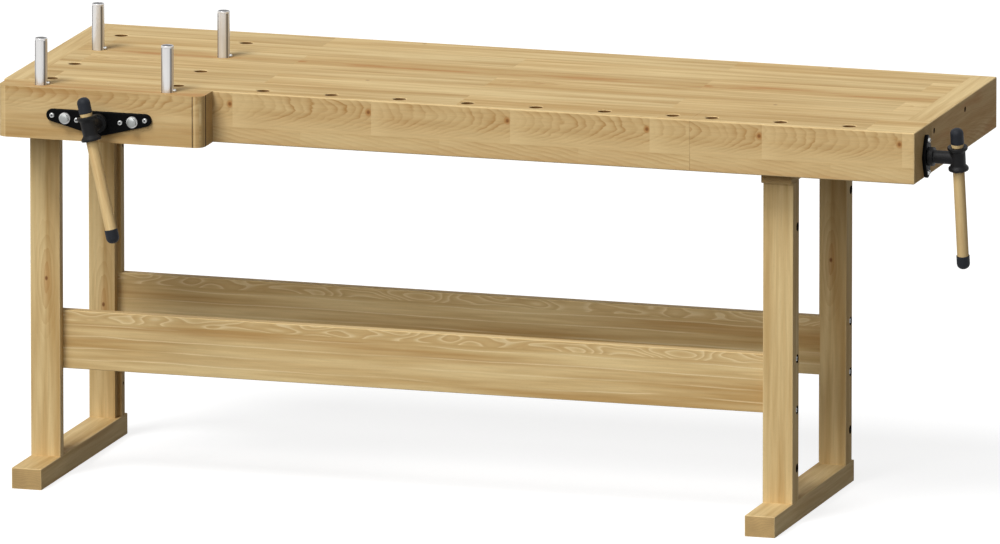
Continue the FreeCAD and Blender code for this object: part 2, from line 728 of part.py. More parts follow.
def make_boards(doc):
    """The three glued boards of the top, one for each pair of dog holes across it."""
    first_step, second_step, third_step = LINE_STEPS
    (first_bolt, height), (second_bolt, _) = cap_bolt_centres()
    nut_depth = "plate_thickness - cap_bolt_drop + nut_barrel_length / 2"

    front = top_board(doc, "TopBoardFront", "rail_thickness", "front_joint")
    front.step("top", ("fixed_jaw", "rail_thickness"), ("right_cap", "inner_edge"))
    front.dog_holes(line_holes(first_step))
    front.holes("bottom", pegs_at("front_peg"), "peg_radius", "peg_rise")
    front.holes("bottom", front_casting_screws(), "casting_screw_radius", "casting_screw_bite")
    depth = "inner_edge - rail_thickness + casting_screw_bite"
    front.holes("front", tail_casting_screws("high"), "casting_screw_radius", depth)
    bolt_holes(front, first_bolt, height, nut_depth)
    front.finish("top_board_front")

    middle = top_board(doc, "TopBoardMiddle", "front_joint", "rear_joint")
    middle.dog_holes(line_holes(second_step))
    bolt_holes(middle, second_bolt, height, nut_depth)
    middle.finish("top_board_middle")

    rear = top_board(doc, "TopBoardRear", "rear_joint", "rear_rail_front")
    rear.dog_holes(line_holes(third_step))
    rear.holes("bottom", pegs_at("rear_peg"), "peg_radius", "peg_rise")
    rear.finish("top_board_rear")


def bolt_holes(board, y, height, nut_depth):
    """Bore a board for its end cap bolts and their cross nuts."""
    for side in ("left", "right"):
        board.holes(side, [(y, height)], "cap_bolt_hole", "cap_nut_reach - cap_thickness")
    board.holes("bottom", cap_nut_centres(y), "nut_barrel_radius + nut_clearance", nut_depth)


def make_tail_supports(doc):
    """Bearer beside the tail vise and backing of its fixed jaw, both under the boards."""
    height = "plate_bottom - rail_bottom"
    corner = ("fixed_jaw", "inner_edge", "rail_bottom")
    cheek = Board(doc, "TailCheek", corner, ("right_cap - fixed_jaw", "cheek_thickness", height))
    cheek.holes("front", tail_casting_screws("low"), "casting_screw_radius", "casting_screw_bite")
    cheek.finish("tail_cheek")

    corner = ("fixed_jaw - jaw_backing", "rail_thickness", "rail_bottom")
    width = "cheek_back - rail_thickness"
    backing = Board(doc, "FixedJawBlock", corner, ("jaw_backing", width, height))
    backing.finish("fixed_jaw_block")


def make_top(doc):
    """Rails, end caps and boards of the top."""
    left_edges = ["front top", "front bottom", "back top", "back bottom"]
    left_edges += ["left top", "left bottom", "left front", "left back"]
    make_end_cap(doc, "left", ("0", "0", "rail_bottom"), "bench_depth", left_edges)
    right_edges = ["right top", "right bottom", "right back", "back top", "back bottom"]
    corner = ("right_cap", "inner_edge", "rail_bottom")
    make_end_cap(doc, "right", corner, "bench_depth - inner_edge", right_edges)
    make_rails(doc)
    make_boards(doc)
    make_tail_supports(doc)


# ---------------------------------------------------------------------------------------------
# Trestles
# ---------------------------------------------------------------------------------------------

POSTS = {"front": "front_post", "rear": "rear_post"}
TRESTLES = {"left": "left_trestle", "right": "right_trestle"}


def inner_step(side):
    """The two X faces of the step along the inner side of a trestle's posts."""
    start = TRESTLES[side]
    if side == "left":
        return f"{start} + trestle_width - rebate", f"{start} + trestle_width"
    return start, f"{start} + rebate"


def peg_line(side):
    """X of the pegs of one trestle."""
    if side == "left":
        return "left_trestle + peg_inset"
    return "right_trestle + trestle_width - peg_inset"


def pegs_at(y):
    """Places of the pegs of both trestles in one row."""
    return [(peg_line(side), y) for side in TRESTLES]


def tenon_corners(side, post):
    """Corners of the tenons of a post, seen from above."""
    x = f"{TRESTLES[side]} + trestle_width / 2"
    y = f"{post} + post_depth / 2"
    low = (f"{x} - tenon_thickness / 2", f"{y} - tenon_width / 2")
    high = (f"{x} + tenon_thickness / 2", f"{y} + tenon_width / 2")
    return low, high


def stretcher_bolt_heights():
    """Heights of the two bolts at each end of a stretcher."""
    return ["stretcher_bottom + stretcher_bolt_inset", "stretcher_top - stretcher_bolt_inset"]


def make_foot(doc, side):
    """Foot of a trestle, with a mortise for each post."""
    corner = (TRESTLES[side], "-foot_front", "0")
    foot = Board(doc, f"{side}Foot", corner, ("trestle_width", "foot_length", "foot_height"))
    for post in POSTS.values():
        foot.step("top", *tenon_corners(side, post), "foot_tenon")
    edges = ["left top", "right top", "front top", "back top"]
    edges += ["left front", "right front", "left back", "right back"]
    foot.round_edges(edges, "frame_arris")
    foot.finish(f"{side}_foot")


def make_post(doc, side, place):
    """A post with a stepped inner side, four bolt holes and a tenon at each end."""
    name = f"{side}{place.capitalize()}Post"
    post = POSTS[place]
    corner = (TRESTLES[side], post, "foot_height")
    height = "head_bottom - foot_height"
    board = Board(doc, name, corner, ("trestle_width", "post_depth", height))
    low, high = inner_step(side)
    ear = f"{post} + ear_setback"
    if place == "front":
        board.step("top", (low, ear), (high, f"{post} + post_depth"))
    else:
        board.step("top", (low, post), (high, ear))
        board.step("front", (low, "stretcher_bottom"), (high, "stretcher_top"))
    heights = ["foot_height + low_hole_rise", *stretcher_bolt_heights(), "head_bottom - high_hole_drop"]
    centres = [(f"{ear} + stretcher_thickness / 2", height) for height in heights]
    board.holes(side, centres, "post_hole")
    board.holes(side, centres, "post_recess_radius", "post_recess_depth")
    board.round_edges(["left front", "right front", "left back", "right back"], "frame_arris")
    seat(board.body, corner)

    tenon_low, _ = tenon_corners(side, post)
    size = ("tenon_thickness", "tenon_width")
    foot_start = (*tenon_low, "foot_height - foot_tenon")
    head_start = (*tenon_low, "head_bottom")
    tenons = [
        block(doc, f"{name}FootTenon", foot_start, (*size, "foot_tenon")),
        block(doc, f"{name}HeadTenon", head_start, (*size, "head_tenon")),
    ]
    finish(fuse(doc, f"{name}Joined", [board.body, *tenons]), f"{side}_{place}_post")


def make_head_rail(doc, side):
    """Rail across the head of a trestle, lower where the rails, cap and vise of the top need room."""
    corner = (TRESTLES[side], "head_front", "head_bottom")
    size = ("trestle_width", "head_length", "plate_bottom - head_bottom")
    head = Board(doc, f"{side}HeadRail", corner, size)
    clear_back = "cheek_back + slide_gap"
    head.step("left", ("head_front", "tongue_top"), (clear_back, "plate_bottom"))
    if side == "left":
        clear_side = "cap_thickness + slide_gap"
        head.step("front", ("left_trestle", "tongue_top"), (clear_side, "plate_bottom"))
        notches = [("left_line", f"row_inset + {step} * line_pitch") for step in LINE_STEPS]
        head.holes("top", notches, "hole_radius + notch_clearance")
    for post in POSTS.values():
        head.step("bottom", *tenon_corners(side, post), "head_tenon")
    pegs = [(peg_line(side), "front_peg"), (peg_line(side), "rear_peg")]
    head.holes("top", pegs, "peg_radius", "peg_length - peg_rise")
    head.round_edges(["left bottom", "right bottom", "front bottom"], "frame_arris")
    head.finish(f"{side}_head_rail")


def nut_places():
    """Places of the cross nuts along a stretcher, one near each end."""
    return ["stretcher_start + stretcher_nut_reach", "stretcher_end - stretcher_nut_reach"]


def make_stretcher(doc, place):
    """A long board between the trestles, bored for its bolts and cross nuts."""
    start = f"{POSTS[place]} + ear_setback"
    corner = ("stretcher_start", start, "stretcher_bottom")
    size = ("stretcher_end - stretcher_start", "stretcher_thickness", "stretcher_height")
    board = Board(doc, f"{place}Stretcher", corner, size)
    ends = [(f"{start} + stretcher_thickness / 2", z) for z in stretcher_bolt_heights()]
    for side in TRESTLES:
        board.holes(side, ends, "post_hole", "stretcher_nut_reach")
    nuts = [(x, f"{z} + nut_play") for x in nut_places() for z in stretcher_bolt_heights()]
    depth = "(stretcher_thickness + nut_barrel_length) / 2"
    board.holes("back", nuts, "nut_barrel_radius + nut_clearance", depth)
    board.round_edges(["front top", "front bottom", "back top", "back bottom"], "frame_arris")
    board.finish(f"{place}_stretcher")


def make_trestles(doc):
    """Both trestles and the stretchers between them."""
    for side in TRESTLES:
        make_foot(doc, side)
        make_head_rail(doc, side)
        for place in POSTS:
            make_post(doc, side, place)
    for place in POSTS:
        make_stretcher(doc, place)


# ---------------------------------------------------------------------------------------------
# Fasteners of the frame and the top
# ---------------------------------------------------------------------------------------------


def cross_nut(doc, name, centre, bolt_radius, heading):
    """A round nut that lies across its bolt, which runs along the bench."""
    start = shifted(centre, heading, "-nut_barrel_length / 2")
    barrel = cylinder(doc, f"{name}Barrel", "nut_barrel_radius", "nut_barrel_length", start, heading)
    across = shifted(centre, "right", "-nut_barrel_radius")
    bore = cylinder(doc, f"{name}Bore", bolt_radius, "2 * nut_barrel_radius", across, "right")
    return cut(doc, name, barrel, [bore])


def make_stretcher_bolts(doc):
    """The bolts that hold the stretchers, and their cross nuts."""
    seats = {
        "left": "left_trestle + post_recess_depth",
        "right": "right_trestle + trestle_width - post_recess_depth",
    }
    shank = ("stretcher_bolt_radius", "stretcher_bolt_length")
    head = ("bolt_head_radius", "bolt_head_length")
    bolts = []
    nuts = []
    for place, post in POSTS.items():
        y = f"{post} + ear_setback + stretcher_thickness / 2"
        for i, z in enumerate(stretcher_bolt_heights()):
            for (side, x), nut_x in zip(seats.items(), nut_places()):
                name = f"{place}{side}{i}"
                bolts.append(socket_screw(doc, f"Bolt_{name}", (x, y, z), side, shank, head))
                centre = (nut_x, y, z)
                nuts.append(cross_nut(doc, f"Nut_{name}", centre, "stretcher_bolt_radius", "back"))
    finish(group(doc, "StretcherBolts", bolts), "stretcher_bolts")
    return nuts


def make_cap_bolts(doc):
    """The bolts that hold the end caps, and their cross nuts."""
    seats = {"left": "cap_recess_depth", "right": "bench_length - cap_recess_depth"}
    shank = ("cap_bolt_radius", "cap_bolt_length")
    head = ("bolt_head_radius", "bolt_head_length")
    bolts = []
    nuts = []
    for i, (y, z) in enumerate(cap_bolt_centres()):
        for (side, x), (nut_x, _) in zip(seats.items(), cap_nut_centres(y)):
            name = f"{side}{i}"
            bolts.append(socket_screw(doc, f"CapBolt_{name}", (x, y, z), side, shank, head))
            centre = (nut_x, y, z)
            nuts.append(cross_nut(doc, f"CapNut_{name}", centre, "cap_bolt_radius", "up"))
    finish(group(doc, "EndCapBolts", bolts), "end_cap_bolts")
    return nuts


def make_frame_fasteners(doc):
    """Bolts, cross nuts and pegs."""
    nuts = make_stretcher_bolts(doc) + make_cap_bolts(doc)
    finish(group(doc, "CrossNuts", nuts), "cross_nuts")
    z = "plate_bottom + peg_rise - peg_length"
    pegs = [
        cylinder(doc, f"Peg_{side}_{y}", "peg_radius", "peg_length", (peg_line(side), y, z))
        for side in TRESTLES
        for y in ("front_peg", "rear_peg")
    ]
    finish(group(doc, "LocatingPegs", pegs), "locating_pegs")


# ---------------------------------------------------------------------------------------------
# Pieces that both vises have
# ---------------------------------------------------------------------------------------------


def make_screw_head(doc, name, label, place, heading, lean, tilt):
    """Cast head of a vise screw: a cross socket for the handle, a neck and a collar.

    It is drawn with the handle upright at the origin and the screw along the heading.
    """
    half = "socket_length / 2"
    rim = ("socket_rim_radius", "socket_rim_width")
    to_rim = "socket_length / 2 - socket_rim_width"
    flare = f"{to_rim} - socket_flare"
    reach = "head_reach - flange_thickness - collar_gap"
    collar_start = shifted(ORIGIN, heading, f"{reach} - collar_width")
    radii = ("socket_radius", "socket_rim_radius", "socket_flare")
    pieces = [
        cylinder(doc, f"{name}Tube", "socket_radius", "socket_length", ("0", "0", f"-{half}")),
        cylinder(doc, f"{name}TopRim", *rim, ("0", "0", to_rim)),
        cylinder(doc, f"{name}LowRim", *rim, ("0", "0", f"-({to_rim})"), "down"),
        cone(doc, f"{name}TopFlare", *radii, ("0", "0", flare)),
        cone(doc, f"{name}LowFlare", *radii, ("0", "0", f"-({flare})"), "down"),
        cylinder(doc, f"{name}Neck", "neck_radius", reach, ORIGIN, heading),
        cylinder(doc, f"{name}Collar", "collar_radius", "collar_width", collar_start, heading),
    ]
    bore = "handle_radius + handle_clearance"
    screw_start = shifted(ORIGIN, heading, "screw_grip")
    bores = [
        cylinder(doc, f"{name}HandleBore", bore, "socket_length", ("0", "0", f"-{half}")),
        cylinder(doc, f"{name}ScrewBore", "screw_radius", "head_reach", screw_start, heading),
    ]
    head = cut(doc, name, fuse(doc, f"{name}Blank", pieces), bores)
    finish(head, label, place, lean, tilt)


def make_handle(doc, name, label, place, lean, tilt):
    """Wooden handle: a rod with a collar under its upper cap and a tenon in each cap."""
    low = "handle_bottom + rubber_wall"
    high = "handle_top - rubber_wall"
    profile = [
        ("0", low),
        ("handle_tenon_radius", low),
        ("handle_tenon_radius", "bottom_cap_end"),
        ("handle_radius", "bottom_cap_end"),
        ("handle_radius", "shoulder_start"),
        ("shoulder_radius", "shoulder_start"),
        ("shoulder_radius", "top_cap_start"),
        ("handle_tenon_radius", "top_cap_start"),
        ("handle_tenon_radius", high),
        ("0", high),
    ]
    finish(turned_body(doc, name, profile), label, place, lean, tilt)


def make_handle_cap(doc, name, mouth, end, floor, side):
    """A rubber cap with a rounded end, hollow where the handle goes in."""
    profile = [
        ("0", end),
        ("cap_radius", end),
        ("cap_radius", mouth),
        ("handle_tenon_radius", mouth),
        ("handle_tenon_radius", floor),
        ("0", floor),
    ]
    cap = turned_body(doc, name, profile)
    dress(doc, cap, "Fillet", "round", mouths_of(cap.Tip.Shape, side), Radius="cap_round")
    return cap


def make_handle_caps(doc, name, label, place, lean, tilt):
    """The rubber caps of a handle."""
    high = "handle_top - rubber_wall"
    low = "handle_bottom + rubber_wall"
    caps = [
        make_handle_cap(doc, f"{name}Top", "top_cap_start", "handle_top", high, "top"),
        make_handle_cap(doc, f"{name}Bottom", "bottom_cap_end", "handle_bottom", low, "bottom"),
    ]
    finish(group(doc, name, caps), label, place, lean, tilt)


def make_flange(doc, name, label, rings, bores, place, turn):
    """A cast flange around a vise screw, with its bores."""
    body = doc.addObject("PartDesign::Body", name)
    outline = new_sketch(body, f"{name}_outline", "XY")
    draw_belt(outline, rings)
    add_pad(doc, body, outline, "flange_thickness")
    holes = new_sketch(body, f"{name}_holes", "XY")
    for u, v, radius in bores:
        draw_circle(holes, u, v, radius)
    add_pocket(doc, body, f"{name}_bores", holes, True)
    finish(body, label, place, turn)


def make_flange_screws(doc, name, label, places, heading):
    """The wood screws of a flange."""
    shank = ("flange_screw_radius", "flange_screw_length")
    head = ("flange_screw_head_radius", "flange_screw_head_length")
    screws = [
        socket_screw(doc, f"{name}{i}", place, heading, shank, head)
        for i, place in enumerate(places)
    ]
    finish(group(doc, name, screws), label)


def make_vise_screw(doc, names, labels, starts, length, heading):
    """A vise screw and the ring on it that draws the jaw open."""
    screw_name, ring_name = names
    screw_label, ring_label = labels
    screw_start, ring_start = starts
    turn = HEADINGS[heading][1]
    screw = cylinder(doc, screw_name, "screw_radius", length)
    finish(screw, screw_label, screw_start, turn)
    garter = ring(doc, ring_name, "garter_radius", "screw_radius", "garter_width")
    finish(garter, ring_label, ring_start, turn)


def make_nut(doc, name, label, start, length, heading):
    """The nut of a vise screw, pressed into its casting."""
    bore = "screw_radius + running_clearance"
    finish(ring(doc, name, "nut_radius", bore, length, start, heading), label)


# ---------------------------------------------------------------------------------------------
# Front vise
# ---------------------------------------------------------------------------------------------


def guide_centres():
    """Places of the front guide rods, seen from the front."""
    return [
        ("front_vise - guide_spread", "guide_height"),
        ("front_vise + guide_spread", "guide_height"),
    ]


def front_flange_screws():
    """Places of the wood screws of the front flange, measured from the vise screw."""
    return [
        ("-lobe_spread", "lobe_rise"),
        ("lobe_spread", "lobe_rise"),
        ("-inner_screw_spread", "inner_screw_rise"),
        ("inner_screw_spread", "inner_screw_rise"),
    ]


def make_chop(doc):
    """Front jaw: a thick board with rounded ends, two dog holes, and bores for rods and screw."""
    corner = ("chop_start", "-chop_thickness", "rail_bottom")
    size = ("chop_length", "chop_thickness - jaw_gap", "rail_height")
    chop = Board(doc, "FrontChop", corner, size)
    screw = [("front_vise", "front_screw_height")]
    chop.dog_holes(across_lines("chop_middle"))
    chop.holes("front", guide_centres(), "guide_radius")
    chop.holes("front", screw, "screw_hole")
    recess_depth = "garter_width + 2 * garter_gap"
    chop.holes("back", screw, "garter_radius + garter_clearance", recess_depth)
    pilots = [(f"front_vise + {u}", f"front_screw_height + {v}") for u, v in front_flange_screws()]
    chop.holes("front", pilots, "flange_screw_radius", "flange_screw_bite")
    chop.round_edges(["left front", "right front"], "chop_round")
    chop.finish("front_chop")


def make_front_flange(doc):
    """Flange on the front jaw and its four wood screws."""
    rings = [
        ("-lobe_spread", "lobe_rise", "lobe_radius"),
        ("0", "0", "front_disc_radius"),
        ("lobe_spread", "lobe_rise", "lobe_radius"),
    ]
    bores = [
        ("0", "0", "screw_hole"),
        ("-guide_spread", "guide_rise", "guide_bolt_radius"),
        ("guide_spread", "guide_rise", "guide_bolt_radius"),
    ]
    bores += [(u, v, "flange_screw_radius") for u, v in front_flange_screws()]
    place = ("front_vise", "-chop_thickness", "front_screw_height")
    turn = HEADINGS["front"][1]
    make_flange(doc, "FrontFlange", "front_flange", rings, bores, place, turn)

    face = "front_flange_face"
    places = [
        (f"front_vise + {u}", face, f"front_screw_height + {v}") for u, v in front_flange_screws()
    ]
    make_flange_screws(doc, "FrontFlangeScrews", "front_flange_screws", places, "front")


def make_guide_bolts(doc):
    """Hexagon bolts with washers that hold the guide rods to the flange."""
    bolts = []
    for i, (x, z) in enumerate(guide_centres()):
        face = (x, "front_flange_face", z)
        shank_start = shifted(face, "back", "guide_bolt_length")
        head_start = shifted(face, "front", "washer_thickness")
        washer_size = ("washer_radius", "washer_thickness")
        shank_size = ("guide_bolt_radius", "guide_bolt_length")
        head_size = ("guide_bolt_flats", "guide_bolt_head")
        pieces = [
            cylinder(doc, f"GuideBolt{i}Shank", *shank_size, shank_start, "front"),
            cylinder(doc, f"GuideBolt{i}Washer", *washer_size, face, "front"),
            hexagon(doc, f"GuideBolt{i}Head", *head_size, head_start, "front"),
        ]
        bolts.append(fuse(doc, f"GuideBolt{i}", pieces))
    finish(group(doc, "FrontGuideBolts", bolts), "front_guide_bolts")


def make_front_guides(doc):
    """Guide rods of the front jaw with their stop rings."""
    rods = []
    stops = []
    for i, (x, z) in enumerate(guide_centres()):
        start = (x, "-chop_thickness", z)
        rod = cylinder(doc, f"GuideRod{i}Bar", "guide_radius", "guide_length", start, "back")
        thread = ("guide_bolt_radius", "guide_bolt_length")
        bore = cylinder(doc, f"GuideRod{i}Thread", *thread, start, "back")
        rods.append(cut(doc, f"GuideRod{i}", rod, [bore]))
        sizes = ("guide_stop_radius", "guide_radius", "guide_stop_width")
        stops.append(ring(doc, f"GuideStop{i}", *sizes, (x, "guide_stop_start", z), "back"))
    finish(group(doc, "FrontGuideRods", rods), "front_guide_rods")
    finish(group(doc, "FrontRodStops", stops), "front_rod_stops")


def front_casting_screws():
    """Places of the four screws of the front casting, seen from above."""
    reach = "casting_reach - casting_overhang / 2"
    return [
        (f"front_vise + {side} * ({reach})", f"rail_thickness + casting_depth * {share} / 4")
        for side in (-1, 1)
        for share in (1, 3)
    ]


def make_front_casting(doc):
    """Casting under the boards that guides the rods and holds the nut of the front vise."""
    plate_low = "plate_bottom - casting_plate"
    plate_corner = ("front_vise - (casting_reach)", "rail_thickness", plate_low)
    plate_size = ("2 * (casting_reach)", "casting_depth", "casting_plate")
    pieces = [block(doc, "FrontCastingPlate", plate_corner, plate_size)]
    bores = []
    for i, (x, z) in enumerate(guide_centres()):
        start = (x, "rail_thickness", z)
        boss = "guide_radius + rod_boss_wall"
        pieces.append(cylinder(doc, f"FrontBoss{i}", boss, "casting_depth", start, "back"))
        bore = "guide_radius + running_clearance"
        bores.append(cylinder(doc, f"FrontBossBore{i}", bore, "casting_depth", start, "back"))
    start = ("front_vise", "rail_thickness", "front_screw_height")
    boss = "nut_radius + nut_boss_wall"
    pieces.append(cylinder(doc, "FrontNutBoss", boss, "casting_depth", start, "back"))
    bores.append(cylinder(doc, "FrontNutSeat", "nut_radius", "casting_depth", start, "back"))
    web_low = "front_screw_height - web_drop"
    web_size = ("2 * guide_spread", "casting_web", f"{plate_low} - ({web_low})")
    for i, y in enumerate(("rail_thickness", "casting_back - casting_web")):
        web_corner = ("front_vise - guide_spread", y, web_low)
        pieces.append(block(doc, f"FrontWeb{i}", web_corner, web_size))
    for i, (x, y) in enumerate(front_casting_screws()):
        hole = ("casting_screw_radius", "casting_plate")
        bores.append(cylinder(doc, f"FrontCastingHole{i}", *hole, (x, y, plate_low)))
    casting = cut(doc, "FrontCasting", fuse(doc, "FrontCastingBlank", pieces), bores)
    finish(casting, "front_guide_casting")
    make_nut(doc, "FrontNut", "front_nut", start, "casting_depth", "back")


def make_front_vise(doc):
    """Front vise: jaw, guides, casting, screw and handle."""
    make_chop(doc)
    make_front_flange(doc)
    make_guide_bolts(doc)
    make_front_guides(doc)
    make_front_casting(doc)

    screw_start = ("front_vise", "front_handle_y + screw_grip", "front_screw_height")
    ring_start = ("front_vise", "-jaw_gap - garter_gap - garter_width", "front_screw_height")
    names = ("FrontScrew", "FrontGarter")
    labels = ("front_screw", "front_garter")
    length = "head_reach - screw_grip + guide_length"
    make_vise_screw(doc, names, labels, (screw_start, ring_start), length, "back")

    place = ("front_vise", "front_handle_y", "front_screw_height")
    lean = (Rotation(Vector(0, -1, 0), 1), "front_handle_tilt")
    make_screw_head(doc, "FrontHead", "front_screw_head", place, "back", *lean)
    make_handle(doc, "FrontHandle", "front_handle", place, *lean)
    make_handle_caps(doc, "FrontHandleCaps", "front_handle_caps", place, *lean)


# ---------------------------------------------------------------------------------------------
# Tail vise
# ---------------------------------------------------------------------------------------------


def tail_rod_centres():
    """Places of the tail guide rods, seen from the end."""
    return [
        ("tail_rod_inset", "tail_screw_height - tail_rod_spread"),
        ("tail_rod_inset", "tail_screw_height + tail_rod_spread"),
    ]


def tail_flange_screws():
    """Places of the wood screws of the tail flange, seen from the end."""
    return [
        ("tail_screw_inset", "tail_screw_height - tail_flange_screw_rise"),
        ("tail_screw_inset", "tail_screw_height + tail_flange_screw_rise"),
    ]


def tail_casting_screws(level):
    """Places of the two low or the two high screws of the tail casting, seen from the front."""
    z = {
        "low": "tail_plate_low + casting_screw_inset",
        "high": "tail_plate_low + tail_plate_height - casting_screw_inset",
    }[level]
    left = "tail_plate_start + casting_screw_inset"
    right = "tail_plate_start + tail_plate_length - casting_screw_inset"
    return [(left, z), (right, z)]


def make_tail_jaw(doc):
    """Moving jaw of the tail vise: a front board, a clamping block, an end block and a cover."""
    depth = "tail_width - tail_board"
    corner = ("tail_start", "0", "rail_bottom")
    front = Board(doc, "TailFrontBoard", corner, ("tail_length", "tail_board", "rail_height"))
    front.dog_holes(dog_row(doc, "tail_start + tail_row_inset", "bench_length"))
    edges = ["front top", "front bottom", "right top", "right bottom", "right front"]
    front.round_edges(edges, "arris")
    front.finish("tail_front_board")

    corner = ("tail_start", "tail_board", "rail_bottom")
    jaw = Board(doc, "TailJawBlock", corner, ("tail_block", depth, "rail_height"))
    jaw.holes("right", tail_rod_centres(), "tail_rod_radius", "tail_rod_seat")
    jaw.finish("tail_jaw_block")

    corner = ("tail_end_start", "tail_board", "rail_bottom")
    end = Board(doc, "TailEndBlock", corner, ("tail_end", depth, "rail_height"))
    end.holes("right", [("tail_screw_inset", "tail_screw_height")], "screw_hole")
    end.holes("left", tail_rod_centres(), "tail_rod_radius", "tail_rod_seat")
    end.holes("right", tail_flange_screws(), "flange_screw_radius", "flange_screw_bite")
    end.round_edges(["right top", "right bottom"], "arris")
    end.finish("tail_end_block")

    corner = ("tail_block_end", "tail_board", "work_height - tail_cover")
    size = ("tail_end_start - tail_block_end", depth, "tail_cover")
    Board(doc, "TailCoverBoard", corner, size).finish("tail_cover_board")


def make_tail_flange(doc):
    """Flange on the end of the tail jaw and its two wood screws."""
    disc = ("0", "0", "tail_disc_radius")
    low = ("0", "-tail_lobe_rise", "tail_lobe_radius")
    high = ("0", "tail_lobe_rise", "tail_lobe_radius")
    bores = [
        ("0", "0", "screw_hole"),
        ("0", "-tail_flange_screw_rise", "flange_screw_radius"),
        ("0", "tail_flange_screw_rise", "flange_screw_radius"),
    ]
    place = ("bench_length", "tail_screw_inset", "tail_screw_height")
    turn = Rotation(Vector(0, 1, 0), Vector(0, 0, 1), Vector(1, 0, 0), "XYZ")
    make_flange(doc, "TailFlange", "tail_flange", [low, disc, high, disc], bores, place, turn)
    places = [("tail_flange_face", y, z) for y, z in tail_flange_screws()]
    make_flange_screws(doc, "TailFlangeScrews", "tail_flange_screws", places, "right")


def make_tail_casting(doc):
    """Casting beside the top that guides the rods and holds the nut of the tail vise."""
    plate_corner = ("tail_plate_start", "inner_edge - casting_plate", "tail_plate_low")
    plate_size = ("tail_plate_length", "casting_plate", "tail_plate_height")
    pieces = [block(doc, "TailCastingPlate", plate_corner, plate_size)]
    bores = []
    for i, (y, z) in enumerate(tail_rod_centres()):
        start = ("tail_boss_start", y, z)
        boss = "tail_rod_radius + rod_boss_wall"
        pieces.append(cylinder(doc, f"TailBoss{i}", boss, "tail_boss_length", start, "right"))
        bore = "tail_rod_radius + running_clearance"
        bores.append(cylinder(doc, f"TailBossBore{i}", bore, "tail_boss_length", start, "right"))
    start = ("tail_boss_start", "tail_screw_inset", "tail_screw_height")
    boss = "nut_radius + nut_boss_wall"
    pieces.append(cylinder(doc, "TailNutBoss", boss, "tail_boss_length", start, "right"))
    bores.append(cylinder(doc, "TailNutSeat", "nut_radius", "tail_boss_length", start, "right"))
    web_corner = ("tail_boss_start", "tail_screw_inset", "tail_screw_height - tail_rod_spread")
    web_size = ("tail_boss_length", "inner_edge - tail_screw_inset", "2 * tail_rod_spread")
    pieces.append(block(doc, "TailWeb", web_corner, web_size))
    for i, (x, z) in enumerate(tail_casting_screws("low") + tail_casting_screws("high")):
        hole = ("casting_screw_radius", "casting_plate")
        hole_start = (x, "inner_edge - casting_plate", z)
        bores.append(cylinder(doc, f"TailCastingHole{i}", *hole, hole_start, "back"))
    casting = cut(doc, "TailCasting", fuse(doc, "TailCastingBlank", pieces), bores)
    finish(casting, "tail_guide_casting")
    make_nut(doc, "TailNut", "tail_nut", start, "tail_boss_length", "right")


def make_tail_vise(doc):
    """Tail vise: jaw, guides, casting, screw and handle."""
    make_tail_jaw(doc)
    make_tail_flange(doc)
    make_tail_casting(doc)
    start = "tail_block_end - tail_rod_seat"
    length = "tail_end_start - tail_block_end + 2 * tail_rod_seat"
    rods = [
        cylinder(doc, f"TailRod{i}", "tail_rod_radius", length, (start, y, z), "right")
        for i, (y, z) in enumerate(tail_rod_centres())
    ]
    finish(group(doc, "TailGuideRods", rods), "tail_guide_rods")

    axis = ("tail_screw_inset", "tail_screw_height")
    screw_start = ("tail_screw_start", *axis)
    ring_start = ("tail_end_start - garter_gap - garter_width", *axis)
    names = ("TailScrew", "TailGarter")
    labels = ("tail_screw", "tail_garter")
    length = "tail_handle_x - screw_grip - tail_screw_start"
    make_vise_screw(doc, names, labels, (screw_start, ring_start), length, "right")

    place = ("tail_handle_x", *axis)
    lean = (Rotation(Vector(1, 0, 0), 1), "tail_handle_tilt")
    make_screw_head(doc, "TailHead", "tail_screw_head", place, "left", *lean)
    make_handle(doc, "TailHandle", "tail_handle", place, *lean)
    make_handle_caps(doc, "TailHandleCaps", "tail_handle_caps", place, *lean)


def make_casting_screws(doc):
    """Screws that hold both castings to the wood."""
    shank = ("casting_screw_radius", "casting_screw_length")
    head = ("casting_screw_head_radius", "casting_screw_head_length")
    low = "plate_bottom - casting_plate"
    face = "inner_edge - casting_plate"
    places = [((x, y, low), "down") for x, y in front_casting_screws()]
    places += [
        ((x, face, z), "front") for level in ("low", "high") for x, z in tail_casting_screws(level)
    ]
    screws = [
        socket_screw(doc, f"CastingScrew{i}", place, heading, shank, head)
        for i, (place, heading) in enumerate(places)
    ]
    finish(group(doc, "CastingScrews", screws), "casting_screws")


# ---------------------------------------------------------------------------------------------
# Bench dogs
# ---------------------------------------------------------------------------------------------


def make_dog(doc, label, x, y):
    """A round steel dog and the pin that stops it at the top face."""
    name = "".join(word.capitalize() for word in label.split("_"))
    low = "-dog_below"
    high = "dog_above"
    profile = [
        ("0", low),
        ("dog_radius - dog_chamfer", low),
        ("dog_radius", f"{low} + dog_chamfer"),
        ("dog_radius", f"{high} - dog_chamfer"),
        ("dog_radius - dog_chamfer", high),
        ("0", high),
    ]
    blank = turned_body(doc, f"{name}Blank", profile)
    start = ("dog_radius - stop_pin_depth", "0", "stop_pin_gap + stop_pin_radius")
    bore = cylinder(doc, f"{name}Bore", "stop_pin_radius", "dog_radius", start, "right")
    place = (x, y, "work_height")
    finish(cut(doc, name, blank, [bore]), label, place)

    length = "stop_pin_depth + stop_pin_reach - stop_pin_radius"
    shank = cylinder(doc, f"{name}PinShank", "stop_pin_radius", length, start, "right")
    tip = doc.addObject("Part::Sphere", f"{name}PinTip")
    bind(tip, Radius="stop_pin_radius")
    seat(tip, shifted(start, "right", length))
    finish(fuse(doc, f"{name}Pin", [shank, tip]), f"{label}_pin", place)


